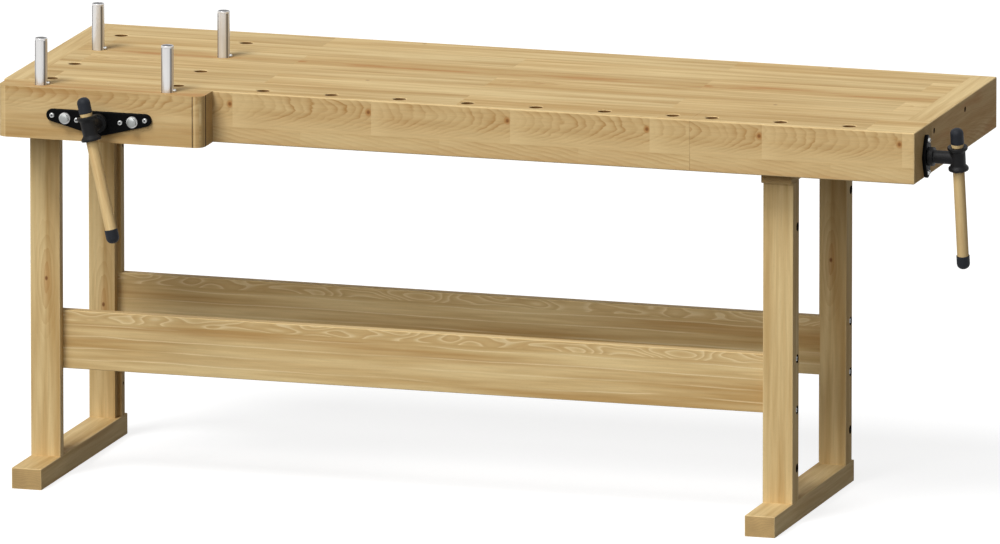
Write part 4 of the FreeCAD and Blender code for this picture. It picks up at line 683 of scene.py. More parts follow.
def frame_wood(name):
    """Posts, feet and rails of the trestles, and the end caps: quiet wood around a knot."""
    beech = Beech(name)
    wiring = beech.wiring
    stretched = wiring.scaled(beech.place, (0.2, 1.0, 0.0))
    bend = wiring.noise(beech.place, (14.0, 60.0, 1.0), 2.0)
    reach = wiring.add("ShaderNodeVectorMath", {0: stretched}, operation="LENGTH").outputs["Value"]
    reach = wiring.math("MULTIPLY_ADD", bend, 0.008, wiring.math("SUBTRACT", reach, 0.004))
    near = wiring.falling(reach, 0.006, 0.034)
    ring = wiring.math("POWER", wiring.math("FRACT", wiring.math("DIVIDE", reach, 0.0065)), 1.6)
    beech.stain("flame", 0.5, near, ring)
    beech.stain("warm", 0.5, wiring.falling(reach, 0.001, 0.013))
    beech.stain("knot", 0.85, wiring.spot(beech.along, beech.across, (0.0, 0.0), (0.006, 0.0042)))
    return beech.finish()


def handle_wood(name):
    """Turned handles."""
    beech = Beech(name)
    beech.stain("edge", 0.45)
    streak = beech.cloud((7.0, 90.0), 0.5, 0.66, detail=3.0)
    beech.stain("warm", 0.25, streak)
    beech.tint(1.16)
    return beech.finish()


def end_wood(name, colour_name):
    """Cut ends of beech, and the walls of its holes: growth rings and dark pores. The tones of the holes are made
    darker as painted shade.
    """
    tone = getattr(bpy.context.scene.bench_wood, colour_name)
    material, wiring, shader = start_material(name)
    place = wiring.add("ShaderNodeUVMap", uv_map=GRAIN_MAP).outputs[0]
    bend = wiring.noise(place, (7.0, 7.0, 7.0), 2.0)
    parts = wiring.parts(place)
    depth = wiring.math("MULTIPLY_ADD", parts[1], 230.0, wiring.times(bend, 26.0))
    ring = wiring.span(wiring.math("FRACT", depth), 0.0, 1.0, 0.0, 0.4)
    pore = wiring.span(wiring.noise(place, (2200.0, 2200.0, 2200.0), 1.0), 0.5, 0.7)
    base = wiring.mix(ring, opaque(tone), opaque(tone, 0.65))
    cloud = wiring.span(wiring.noise(place, (22.0, 22.0, 22.0), 3.0), 0.3, 0.7, 0.88, 1.12)
    base = wiring.sized(base, cloud)
    base = wiring.mix(wiring.times(pore, 0.3), base, opaque(tone, 0.4))
    wiring.link(highlight_and_scribe(wiring, base), shader["Base Color"])
    wiring.link(wiring.span(pore, 0.0, 1.0, 0.66, 0.8), shader["Roughness"])
    shader["Specular IOR Level"].default_value = 0.08
    wiring.link(wiring.bump(pore, -0.0001), shader["Normal"])
    return material


def cast_material(name, colour_name, roughness, grit, depth, glint, gloss):
    """Painted cast iron or moulded rubber."""
    tone = getattr(bpy.context.scene.bench_metal, colour_name)
    material, wiring, shader = start_material(name)
    place = wiring.add("ShaderNodeTexCoord").outputs["Object"]
    cast = wiring.group(cast_group(), {"Vector": place, "Grit": grit})
    lighter = opaque([min(1.0, glint * c) for c in tone])
    base = wiring.mix(cast["Cloud"], opaque(tone), opaque(tone, 1.5))
    wiring.link(wiring.mix(wiring.times(cast["Grit"], 0.6), base, lighter), shader["Base Color"])
    wiring.link(wiring.span(cast["Cloud"], 0.0, 1.0, *roughness), shader["Roughness"])
    shader["Specular IOR Level"].default_value = gloss
    wiring.link(wiring.bump(cast["Height"], depth), shader["Normal"])
    return material


def steel_material(name, colour_name, roughness, metallic=1.0, marked=1.0):
    """Turned or plated metal, with the marks that turning leaves."""
    tone = getattr(bpy.context.scene.bench_metal, colour_name)
    material, wiring, shader = start_material(name)
    place = wiring.add("ShaderNodeTexCoord").outputs["Object"]
    marks = wiring.group(lathe_group(), {"Vector": place})
    darker = opaque(tone, 0.8)
    smudge = wiring.times(marks["Smudge"], 0.2 + 0.4 * marked)
    base = wiring.mix(smudge, opaque(tone), darker)
    base = wiring.mix(wiring.times(marks["Mark"], 0.35 * marked), base, darker)
    # Painted shade: bands marked on the dogs' sides are ten times darker
    base = wiring.mix(wiring.attribute(SHADE_BANDS), base, opaque(tone, 0.1))
    wiring.link(base, shader["Base Color"])
    wiring.link(wiring.span(marks["Mark"], 0.0, 1.0, *roughness), shader["Roughness"])
    shader["Metallic"].default_value = metallic
    wiring.link(wiring.bump(marks["Mark"], 0.00002 * marked), shader["Normal"])
    return material


# How each material is made, and with what
MAKERS = {
    "Beech top": (top_wood,),
    "Beech flamed": (flamed_wood,),
    "Beech jaw": (plank_wood, 0.026, 0.066, (0.022, 0.056), 0.14),
    "Beech cap": (plank_wood, 0.036, -0.05, (-0.2, -0.1), 0.24),
    "Beech stretcher": (stretcher_wood,),
    "Beech frame": (frame_wood,),
    "Beech handle": (handle_wood,),
    "Beech end grain": (end_wood, "end"),
    # Hole walls: their tones are made darker as painted shade
    "Beech bore": (end_wood, "bore"),
    "Beech recess": (end_wood, "recess"),
    "Black cast iron": (cast_material, "iron", (0.42, 0.58), 1500.0, 0.00022, 7.0, 0.16),
    "Black enamel": (cast_material, "enamel", (0.4, 0.5), 1500.0, 0.00012, 9.0, 0.04),
    "Black rubber": (cast_material, "rubber", (0.5, 0.66), 1300.0, 0.0002, 4.5, 0.2),
    "Turned steel": (steel_material, "steel", (0.26, 0.4)),
    "Bright steel": (steel_material, "steel", (0.27, 0.272), 0.6, 0.3),
    "Zinc plated steel": (steel_material, "zinc", (0.3, 0.42), 0.6),
    "Bolt steel": (steel_material, "bolt", (0.3, 0.42), 0.8),
    "Blackened steel": (steel_material, "blackened", (0.5, 0.6), 0.2),
    "Oily steel": (steel_material, "oily", (0.35, 0.5), 0.6),
    "Machined bronze": (steel_material, "bronze", (0.3, 0.45)),
}


def shop_material(name):
    """Find a material of the bench by its name, or make it the first time."""
    if name in bpy.data.materials:
        return bpy.data.materials[name]
    maker, *values = MAKERS[name]
    return maker(name, *values)


# ---------------------------------------------------------------------------------------------
# Mesh tools
# ---------------------------------------------------------------------------------------------

# A turned profile's points that are nearer to the axis than this lie on it
ON_AXIS = 1e-7
# The grain map around a turned piece doesn't get narrower than at this radius
LEAST_REACH = 0.004


def new_object(name, mesh, materials):
    """Put a mesh into the scene with its materials."""
    piece = bpy.data.objects.new(name, mesh)
    bpy.context.scene.collection.objects.link(piece)
    for material in materials:
        piece.data.materials.append(shop_material(material))
    return piece


def merged_copy(node, name):
    """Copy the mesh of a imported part, merge its corners and join its flat triangles."""
    mesh = bpy.data.meshes.new(name)
    source = bmesh.new()
    source.from_mesh(frame["nodes"][node].data)
    bmesh.ops.remove_doubles(source, verts=source.verts, dist=MERGE_DISTANCE)
    bmesh.ops.dissolve_limit(
        source, angle_limit=DISSOLVE_ANGLE, verts=source.verts, edges=source.edges
    )
    source.to_mesh(mesh)
    source.free()
    while mesh.uv_layers:
        mesh.uv_layers.remove(mesh.uv_layers[0])
    return mesh


def plain(piece):
    """Turn a piece's modifiers into plain mesh."""
    depsgraph = bpy.context.evaluated_depsgraph_get()
    mesh = bpy.data.meshes.new_from_object(
        piece.evaluated_get(depsgraph), preserve_all_data_layers=True, depsgraph=depsgraph
    )
    piece.modifiers.clear()
    piece.data = mesh
    for index in reversed(range(len(mesh.materials))):
        if mesh.materials[index] is None:
            mesh.materials.pop(index=index)
    return piece


def smooth(piece):
    """Shade round faces smooth and keep flat faces flat."""
    piece.data.shade_smooth()
    piece.data.set_sharp_from_angle(angle=SMOOTH_ANGLE)
    modifier = piece.modifiers.new("Flat faces", "WEIGHTED_NORMAL")
    modifier.keep_sharp = True
    return plain(piece)


def stand_for(piece, *nodes):
    """Let a piece ride with, and stand for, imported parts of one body."""
    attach(piece, BODY_OF[nodes[0]])
    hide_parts(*nodes)


def solids_of(node):
    """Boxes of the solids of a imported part, as pairs of corners."""
    mesh = bmesh.new()
    mesh.from_mesh(frame["nodes"][node].data)
    bmesh.ops.remove_doubles(mesh, verts=mesh.verts, dist=MERGE_DISTANCE)
    left = set(mesh.verts)
    boxes = []
    while left:
        reached = {left.pop()}
        edge = set(reached)
        while edge:
            edge = {v for u in edge for e in u.link_edges for v in e.verts} - reached
            reached |= edge
        left -= reached
        points = np.array([v.co for v in reached])
        boxes.append((Vector(points.min(0)), Vector(points.max(0))))
    mesh.free()
    return sorted(boxes, key=lambda box: tuple(round(c, 4) for c in box[0]))


def circle(radius, count=40):
    """Points around a circle."""
    angles = [2 * math.pi * i / count for i in range(count)]
    return [(radius * math.cos(a), radius * math.sin(a)) for a in angles]


def turned(name, profile):
    """Turn a profile of (radius, height) pairs around Z into a closed mesh.

    The profile starts and ends on the axis. Its grain map runs along the axis and around it.
    """
    facets = bpy.context.scene.bench_turned.facets
    mesh = bmesh.new()
    grain = mesh.loops.layers.uv.new(GRAIN_MAP)
    rings = []
    for radius, height in profile:
        if radius < ON_AXIS:
            rings.append([mesh.verts.new((0, 0, height))] * facets)
        else:
            points = circle(radius, facets)
            rings.append([mesh.verts.new((*point, height)) for point in points])
    for low, high in zip(rings, rings[1:]):
        for i in range(facets):
            j = (i + 1) % facets
            corners = list(dict.fromkeys((low[i], low[j], high[j], high[i])))
            if len(corners) < 3:
                continue
            face = mesh.faces.new(corners)
            for loop in face.loops:
                turn = i if loop.vert in (low[i], high[i]) else i + 1
                around = 2 * math.pi * turn / facets
                reach = math.hypot(loop.vert.co.x, loop.vert.co.y)
                loop[grain].uv = (loop.vert.co.z, around * max(reach, LEAST_REACH))
    bmesh.ops.recalc_face_normals(mesh, faces=mesh.faces)
    result = bpy.data.meshes.new(name)
    mesh.to_mesh(result)
    mesh.free()
    return result


def along_axis(place, axis):
    """The transform that takes Z to an axis through a place."""
    turn = Vector(axis).normalized().to_track_quat("Z", "Y")
    return Matrix.Translation(place) @ turn.to_matrix().to_4x4()


def rounded(radius, height, size, steps=7, up=True):
    """Corner of a profile, rounded from the side to the flat end."""
    points = []
    for i in range(steps + 1):
        angle = math.pi / 2 * i / steps
        r = radius - size + size * math.cos(angle)
        lift = size * math.sin(angle) - size
        points.append((r, height + lift if up else height - lift))
    return points if up else points[::-1]


# ---------------------------------------------------------------------------------------------
# Wood
# ---------------------------------------------------------------------------------------------


def vectors(items, key):
    """Read one vector of each item of a mesh."""
    values = np.empty(len(items) * 3, np.float32)
    items.foreach_get(key, values)
    return values.reshape(-1, 3)


def lay_grain(mesh, along, flamed, shift, start, flame_shift):
    """Give a board a map that runs along its grain, sort its faces and mark its rounded edges for the painted
    highlight.
    """
    points = vectors(mesh.vertices, "co")
    low, high = points.min(0), points.max(0)
    normals = vectors(mesh.polygons, "normal")
    centres = vectors(mesh.polygons, "center")
    areas = np.array([polygon.area for polygon in mesh.polygons])

    outward = np.where(normals > 0, high - centres, centres - low)
    active = np.abs(normals) > 0.2
    flat = np.abs(normals).max(1) > 0.99
    depth = np.where(active, outward, 0).max(1)
    edge = ~flat & (depth < ARRIS_REACH)
    rim = (np.abs(normals[:, Z]) > 0.4) & (outward[:, Z] < ARRIS_REACH)
    mouth = ~flat & (depth >= OUTER_ROUND) & rim
    bore = (~flat & (depth >= OUTER_ROUND) & ~mouth) | (flat & (depth > 0.001) & (areas < 5e-4))
    end = np.abs(normals[:, along]) > 0.8
    faced = np.abs(normals[:, flamed]) > 0.8 if flamed is not None else np.zeros(len(flat), bool)
    slots = np.where(end, END_SLOT, LONG_SLOT)
    slots = np.where(bore, BORE_SLOT, np.where(faced, FLAMED_SLOT, slots))

    mesh.polygons.foreach_set("material_index", slots.astype(np.int32))
    arris = mesh.attributes.new(ARRIS, "FLOAT", "FACE")
    corner = ~flat & (depth < OUTER_ROUND) & (centres[:, X] < low[X] + CORNER_ROUND)
    # Painted highlight: full on rounded edges and hole mouths, weaker on the rounded corner at the low X end
    pale = np.where(edge | mouth, 1.0, np.where(corner, 0.6, 0.0))
    arris.data.foreach_set("value", pale.astype(np.float32))
    uv = np.empty((len(mesh.loops), 2), np.float32)
    for index, polygon in enumerate(mesh.polygons):
        sides = [axis for axis in (X, Y, Z) if axis != along]
        if slots[index] == END_SLOT:
            u, v = sides
        else:
            sides.sort(key=lambda axis: abs(normals[index][axis]))
            u, v = along, sides[0]
        move = flame_shift if slots[index] == FLAMED_SLOT else shift
        for loop, vertex in zip(polygon.loop_indices, polygon.vertices):
            uv[loop] = (points[vertex][u] + move, points[vertex][v] - start[v])
    mesh.uv_layers.new(name=GRAIN_MAP).data.foreach_set("uv", uv.ravel())


def scribe(mesh, across, place, width, facing, sign):
    """Cut a narrow strip across a board where it faces one way, and mark it as a dark line."""
    work = bmesh.new()
    work.from_mesh(mesh)
    mark = work.faces.layers.float.get(SCRIBE) or work.faces.layers.float.new(SCRIBE)
    for position in (place, place + width):
        spot, heading = [0.0, 0.0, 0.0], [0.0, 0.0, 0.0]
        spot[across], heading[across] = position, 1.0
        geometry = [*work.verts, *work.edges, *work.faces]
        bmesh.ops.bisect_plane(work, geom=geometry, dist=1e-6, plane_co=spot, plane_no=heading)
    for face in work.faces:
        middle = face.calc_center_median()[across]
        if place < middle < place + width and face.normal[facing] * sign > 0.9:
            face[mark] = 1.0
    work.to_mesh(mesh)
    work.free()


class BENCH_OT_wood(Operator):
    """Dress the boards of the top, the jaws and the trestles"""

    bl_idname = "bench.wood"
    bl_label = "Wood"

    def execute(self, context):
        """Copy each board, lay its grain and give it its finish."""
        width = context.scene.bench_wood.scribe
        for number, (node, (along, finish, flamed)) in enumerate(BOARDS.items()):
            mesh = merged_copy(node, f"{node}_wood")
            if node == "front_chop":
                low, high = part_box(node)
                scribe(mesh, X, high.x - CORNER_ROUND - width, width, Y, -1)
                scribe(mesh, Y, low.y + CORNER_ROUND, 2.4 * width, X, 1)
            if finish == "Beech top":
                shift, start = 0.0, {X: 0.0, Y: STAVE_START, Z: LAMELLA_START}
            elif finish == "Beech stretcher":
                shift, start = 0.7 * number, {X: 0.0, Y: 0.0, Z: STRETCHER_START}
            elif node in PLANKS:
                shift, start = 0.3 * number, {X: 0.0, Y: 0.0, Z: LAMELLA_START}
            elif node in KNOTS:
                across, up = KNOTS[node]
                shift, start = -up, {**NO_KNOT, X: across, Z: 0.0}
            else:
                shift, start = 3.0 + 1.37 * number, {**NO_KNOT, X: NO_KNOT[X] + number}
            flame_shift = FLAME_SHIFT.get(node, 0.0)
            lay_grain(mesh, along, flamed, shift, start, flame_shift)
            flames = PLANKS.get(node, "Beech flamed")
            # Holes in the frame pieces get a near-black painted shade; holes in the other boards get a darker wood
            # tone that is partly painted shade
            bore = "Beech recess" if finish == "Beech frame" else "Beech bore"
            finishes = [finish, flames, "Beech end grain", bore]
            piece = new_object(f"{node}_wood", mesh, finishes)
            stand_for(smooth(piece), node)
        return {"FINISHED"}


# ---------------------------------------------------------------------------------------------
# Castings and flanges
# ---------------------------------------------------------------------------------------------

CASTINGS = ("front_guide_casting", "tail_guide_casting", "front_screw_head", "tail_screw_head")
# How often the grid of a casting is softened, and the share of its faces that stays
SOFTENED = 3
THINNED = 0.35
# Radius of the flanges' lobes, and of their bore for the vise screw
FRONT_LOBE = 0.0135
TAIL_LOBE = 0.0105
FLANGE_BORE = 0.0125
# The front flange: its lobes above its bore, and its bore below its upper edge
LOBE_RISE = 0.010
BORE_DROP = 0.0235


class BENCH_OT_castings(Operator):
    """Round the edges of the castings as sand leaves them"""

    bl_idname = "bench.castings"
    bl_label = "Castings"

    def execute(self, context):
        """Rebuild each casting on a fine grid, soften it and thin it out."""
        grid = context.scene.bench_metal.cast_round
        for node in CASTINGS:
            mesh = merged_copy(node, f"{node}_cast")
            piece = new_object(f"{node}_cast", mesh, ["Black cast iron"])
            remesh = piece.modifiers.new("Grid", "REMESH")
            remesh.mode = "VOXEL"
            remesh.voxel_size = grid if "head" in node else 2 * grid
            soften = piece.modifiers.new("Soften", "SMOOTH")
            soften.iterations = SOFTENED
            soften.factor = 0.5
            thin = piece.modifiers.new("Thin", "DECIMATE")
            thin.ratio = THINNED
            plain(piece)
            piece.data.shade_smooth()
            stand_for(piece, node)
        return {"FINISHED"}


def belt(rings, steps=14):
    """Outline of a belt around circles given as (x, y, radius), met counter-clockwise."""
    count = len(rings)
    touches = []
    for i in range(count):
        (ax, ay, ar), (bx, by, br) = rings[i], rings[(i + 1) % count]
        heading = math.atan2(by - ay, bx - ax)
        side = heading - math.acos((ar - br) / math.hypot(bx - ax, by - ay))
        touches.append(side)
    points = []
    for i, (x, y, radius) in enumerate(rings):
        low, high = touches[i - 1], touches[i]
        while high < low:
            high += 2 * math.pi
        for k in range(steps + 1):
            angle = low + (high - low) * k / steps
            points.append((x + radius * math.cos(angle), y + radius * math.sin(angle)))
    return points


def plate(name, outlines, thickness, edge):
    """A plate with a rounded outer edge and holes, lying on Z = 0."""
    curve = bpy.data.curves.new(name, "CURVE")
    curve.dimensions = "2D"
    curve.fill_mode = "BOTH"
    for outline in outlines:
        spline = curve.splines.new("POLY")
        spline.points.add(len(outline) - 1)
        for point, (x, y) in zip(spline.points, outline):
            point.co = (x, y, 0.0, 1.0)
        spline.use_cyclic_u = True
    curve.extrude = thickness / 2 - edge
    curve.bevel_depth = edge
    curve.bevel_resolution = 3
    curve.offset = -edge
    blank = bpy.data.objects.new(name, curve)
    bpy.context.scene.collection.objects.link(blank)
    depsgraph = bpy.context.evaluated_depsgraph_get()
    mesh = bpy.data.meshes.new_from_object(blank.evaluated_get(depsgraph))
    bpy.data.objects.remove(blank)
    work = bmesh.new()
    work.from_mesh(mesh)
    bmesh.ops.remove_doubles(work, verts=work.verts, dist=1e-5)
    bmesh.ops.recalc_face_normals(work, faces=work.faces)
    work.to_mesh(mesh)
    work.free()
    mesh.transform(Matrix.Translation((0, 0, thickness / 2)))
    return mesh


def flange(node, rings, thickness, matrix):
    """Draw a flange from its lobes and its middle, bore it for the vise screw and place it."""
    name = f"{node}_cast"
    edge = bpy.context.scene.bench_metal.flange_round
    mesh = plate(name, [belt(rings), circle(FLANGE_BORE)], thickness, edge)
    mesh.transform(matrix)
    stand_for(smooth(new_object(name, mesh, ["Black enamel"])), node)


class BENCH_OT_flanges(Operator):
    """Build the two cast flanges with rounded front edges"""

    bl_idname = "bench.flanges"
    bl_label = "Flanges"

    def execute(self, context):
        """Lay out the lobes of each flange around its middle."""
        low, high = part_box("front_flange")
        reach = (high.x - low.x) / 2 - FRONT_LOBE
        disc = (high.z - low.z) - LOBE_RISE - FRONT_LOBE
        lobes = [(-reach, LOBE_RISE, FRONT_LOBE), (reach, LOBE_RISE, FRONT_LOBE)]
        rings = [lobes[0], (0.0, 0.0, disc), lobes[1]]
        turn = Matrix.Rotation(math.pi / 2, 4, "X")
        place = ((low.x + high.x) / 2, high.y, high.z - BORE_DROP)
        flange("front_flange", rings, high.y - low.y, Matrix.Translation(place) @ turn)

        low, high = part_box("tail_flange")
        reach = (high.z - low.z) / 2 - TAIL_LOBE
        disc = (0.0, 0.0, (high.y - low.y) / 2)
        rings = [(0.0, -reach, TAIL_LOBE), disc, (0.0, reach, TAIL_LOBE), disc]
        turn = Matrix(((0, 0, 1), (1, 0, 0), (0, 1, 0))).to_4x4()
        place = (low.x, (low.y + high.y) / 2, (low.z + high.z) / 2)
        flange("tail_flange", rings, high.x - low.x, Matrix.Translation(place) @ turn)
        return {"FINISHED"}


# ---------------------------------------------------------------------------------------------
# Screws and bolts
# ---------------------------------------------------------------------------------------------


def join(wiring, pieces):
    """Join geometry."""
    node = wiring.tree.nodes.new("GeometryNodeJoinGeometry")
    for piece in pieces:
        wiring.link(piece, node.inputs[0])
    return node.outputs[0]


def rod(wiring, sides, low_radius, high_radius, height, lift):
    """A prism or a cone that stands at a height, along Z."""
    inputs = {"Vertices": sides, "Radius Top": high_radius, "Radius Bottom": low_radius}
    inputs["Depth"] = height
    shape = wiring.add("GeometryNodeMeshCone", inputs).outputs["Mesh"]
    offset = wiring.add("ShaderNodeCombineXYZ", {2: lift}).outputs[0]
    inputs = {"Geometry": shape, "Translation": offset}
    return wiring.add("GeometryNodeTransform", inputs).outputs[0]


def marked(wiring, geometry, name):
    """Mark the faces of a piece with an attribute."""
    inputs = {"Geometry": geometry, "Name": name, "Value": True}
    kind = "GeometryNodeStoreNamedAttribute"
    return wiring.add(kind, inputs, data_type="BOOLEAN", domain="FACE").outputs[0]


def finish_tree(wiring, sink, geometry, material, others=()):
    """End a tree: plain geometry with sharp corners kept, and other materials on marked faces."""
    angle = wiring.add("GeometryNodeInputMeshEdgeAngle").outputs["Unsigned Angle"]
    soft = wiring.add(
        "FunctionNodeCompare", {0: angle, 1: SMOOTH_ANGLE}, data_type="FLOAT", operation="LESS_THAN"
    ).outputs[0]
    real = wiring.add("GeometryNodeRealizeInstances", {0: geometry}).outputs[0]
    faces = wiring.add("GeometryNodeSetShadeSmooth", {"Geometry": real}, domain="FACE").outputs[0]
    edges = wiring.add(
        "GeometryNodeSetShadeSmooth", {"Geometry": faces, "Shade Smooth": soft}, domain="EDGE"
    ).outputs[0]
    painted = wiring.add("GeometryNodeSetMaterial", {"Geometry": edges, "Material": material})
    for name, other in others:
        mark = wiring.add("GeometryNodeInputNamedAttribute", {"Name": name}, data_type="BOOLEAN")
        inputs = {"Geometry": painted.outputs[0], "Material": other}
        inputs["Selection"] = mark.outputs["Attribute"]
        painted = wiring.add("GeometryNodeSetMaterial", inputs)
    wiring.link(painted.outputs[0], sink["Geometry"])


@shared_group(
    "Screws at points",
    [
        ("Geometry", GEOMETRY, None),
        ("Shank Radius", FLOAT, 0.003),
        ("Shank Length", FLOAT, 0.03),
        ("Washer Radius", FLOAT, 0.0),
        ("Washer Height", FLOAT, 0.0),
        ("Head Sides", INTEGER, 32),
        ("Head Radius", FLOAT, 0.005),
        ("Head Top Radius", FLOAT, 0.004),
        ("Head Height", FLOAT, 0.004),
        ("Crown Radius", FLOAT, 0.004),
        ("Crown Height", FLOAT, 0.0005),
        ("Socket Sides", INTEGER, 6),
        ("Socket Radius", FLOAT, 0.002),
        ("Socket Depth", FLOAT, 0.002),
        ("Material", MATERIAL, None),
        ("Socket Material", MATERIAL, None),
        ("Washer Material", MATERIAL, None),
    ],
    [("Geometry", GEOMETRY)],
    "GeometryNodeTree",
)
def screw_tree(wiring, source, sink):
    """Geometry nodes that put a screw, bolt or rivet at each point, aimed along its attribute."""
    washer = source["Washer Height"]
    top = wiring.math("ADD", washer, source["Head Height"])
    crown_top = wiring.math("ADD", top, source["Crown Height"])
    head = rod(
        wiring, source["Head Sides"], source["Head Radius"], source["Head Top Radius"],
        source["Head Height"], washer,
    )
    crown_foot = wiring.times(source["Head Top Radius"], 0.985)
    crown = rod(wiring, 32, crown_foot, source["Crown Radius"], source["Crown Height"], top)
    socket_start = wiring.math("SUBTRACT", crown_top, source["Socket Depth"])
    socket_height = wiring.times(source["Socket Depth"], 2.0)
    radius = source["Socket Radius"]
    socket = rod(wiring, source["Socket Sides"], radius, radius, socket_height, socket_start)
    joined = wiring.add("GeometryNodeMeshBoolean", operation="UNION", solver="EXACT")
    wiring.link(head, joined.inputs[1])
    wiring.link(crown, joined.inputs[1])
    drilled = wiring.add(
        "GeometryNodeMeshBoolean", {0: joined.outputs[0]}, operation="DIFFERENCE", solver="EXACT"
    )
    wiring.link(socket, drilled.inputs[1])
    lining_radius = wiring.times(radius, 0.97)
    lining_height = wiring.times(source["Socket Depth"], 0.5)
    lining_start = wiring.math("SUBTRACT", socket_start, 0.0002)
    # A dark disc at the bottom of the socket: painted shade
    lining = rod(
        wiring, source["Socket Sides"], lining_radius, lining_radius, lining_height, lining_start
    )
    lining = marked(wiring, lining, SOCKET)
    down = wiring.times(source["Shank Length"], -1.0)
    shank = source["Shank Radius"]
    shaft = rod(wiring, 24, shank, shank, source["Shank Length"], down)
    plate_radius = source["Washer Radius"]
    ring = rod(wiring, 40, plate_radius, wiring.times(plate_radius, 0.96), washer, 0.0)
    has_ring = wiring.math("GREATER_THAN", plate_radius, 0.0)
    inputs = {"Switch": has_ring, "True": ring}
    ring = wiring.add("GeometryNodeSwitch", inputs, input_type="GEOMETRY")
    ring = marked(wiring, ring.outputs[0], WASHER)
    screw = join(wiring, [shaft, ring, drilled.outputs[0], lining])
    aim = wiring.add("GeometryNodeInputNamedAttribute", {"Name": AIM}, data_type="FLOAT_VECTOR")
    turn = wiring.add("FunctionNodeAlignRotationToVector", {"Vector": aim.outputs[0]}, axis="Z")
    placed = wiring.add(
        "GeometryNodeInstanceOnPoints",
        {"Points": source["Geometry"], "Instance": screw, "Rotation": turn.outputs[0]},
    )
    others = [(SOCKET, source["Socket Material"]), (WASHER, source["Washer Material"])]
    finish_tree(wiring, sink, placed.outputs[0], source["Material"], others)


def set_inputs(modifier, values):
    """Set the inputs of a geometry nodes modifier by their names."""
    for item in modifier.node_group.interface.items_tree:
        if item.item_type == "SOCKET" and item.in_out == "INPUT" and item.name in values:
            modifier[item.identifier] = values[item.name]


def points_mesh(name, places):
    """A mesh of loose points, each with the direction that its screw points to."""
    mesh = bpy.data.meshes.new(name)
    mesh.from_pydata([place for place, _ in places], [], [])
    aim = mesh.attributes.new(AIM, "FLOAT_VECTOR", "POINT")
    aim.data.foreach_set("vector", [c for _, heading in places for c in heading])
    return mesh


def screws(node, places, sizes, material):
    """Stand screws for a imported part's solids."""
    name = f"{node}_turned"
    piece = new_object(name, points_mesh(name, places), [material])
    modifier = piece.modifiers.new("Screws", "NODES")
    modifier.node_group = screw_tree()
    finishes = {"Material": shop_material(material), "Socket Material": shop_material("Oily steel")}
    finishes["Washer Material"] = shop_material("Bright steel")
    set_inputs(modifier, {**sizes, **finishes})
    plain(piece)
    stand_for(piece, node)


def seats(node, axis, heading, head):
    """Where the heads of a node's screws sit, and where they point.

    The heading is a sign along the axis, or 0 for away from the middle of the bench.
    """
    result = []
    for low, high in solids_of(node):
        if (high - low)[axis] < max(high - low):
            continue
        sign = heading or math.copysign(1.0, low[axis] + high[axis])
        place = (low + high) / 2
        place[axis] = (high[axis] - head) if sign > 0 else (low[axis] + head)
        way = [0.0, 0.0, 0.0]
        way[axis] = sign
        result.append((place, way))
    return result


SCREW_SIZES = (
    "Head Radius",
    "Head Top Radius",
    "Head Height",
    "Crown Radius",
    "Crown Height",
    "Socket Radius",
    "Socket Depth",
    "Shank Radius",
    "Shank Length",
)
WOOD_SCREW = (0.0055, 0.0047, 0.0029, 0.0038, 0.0006, 0.0029, 0.0024, 0.0025, 0.035)
# Screws and bolts: the axes and headings of their seats, the height of their heads in the packed
# part, their material, and their sizes in the order above
SCREWS = {
    "stretcher_bolts": (
        [(X, 0)], 0.006, "Bolt steel",
        (0.0049, 0.0049, 0.0055, 0.0044, 0.0005, 0.0029, 0.003, 0.003, 0.1),
    ),
    # Near-black heads: painted shade in their recesses
    "end_cap_bolts": (
        [(X, 0)], 0.006, "Blackened steel",
        (0.0049, 0.0049, 0.0055, 0.0044, 0.0005, 0.0029, 0.003, 0.004, 0.11),
    ),
    "front_flange_screws": ([(Y, -1)], 0.0035, "Zinc plated steel", WOOD_SCREW),
    "tail_flange_screws": ([(X, 1)], 0.0035, "Zinc plated steel", WOOD_SCREW),
    "casting_screws": (
        [(Z, -1), (Y, -1)], 0.004, "Zinc plated steel",
        (0.005, 0.0045, 0.0034, 0.0037, 0.0006, 0.002, 0.002, 0.003, 0.03),
    ),
    "front_guide_bolts": (
        [(Y, -1)], 0.0095, "Bolt steel",
        (0.0098, 0.0098, 0.0063, 0.0081, 0.0007, 0.0015, 0.0002, 0.005, 0.03),
    ),
}
# Hexagonal heads on washers
HEXAGONS = {
    "front_guide_bolts": {"Head Sides": 6, "Washer Radius": 0.0125, "Washer Height": 0.0025},
}
TURNED = {
    "cross_nuts": "Zinc plated steel",
    "front_guide_rods": "Turned steel",
    "front_rod_stops": "Turned steel",
    "tail_guide_rods": "Turned steel",
    "front_garter": "Turned steel",
    "tail_garter": "Turned steel",
    "front_nut": "Machined bronze",
    "tail_nut": "Machined bronze",
}


class BENCH_OT_screws(Operator):
    """Put the bolts and the wood screws into their seats"""

    bl_idname = "bench.screws"
    bl_label = "Bolts and screws"

    def execute(self, context):
        """Place each kind of screw with its own sizes, and dress the plain turned parts."""
        for node, (ways, head, material, sizes) in SCREWS.items():
            places = [place for way in ways for place in seats(node, *way, head)]
            sizes = {**dict(zip(SCREW_SIZES, sizes)), **HEXAGONS.get(node, {})}
            screws(node, places, sizes, material)
        for node, material in TURNED.items():
            piece = new_object(f"{node}_turned", merged_copy(node, f"{node}_turned"), [material])
            stand_for(smooth(piece), node)
        return {"FINISHED"}


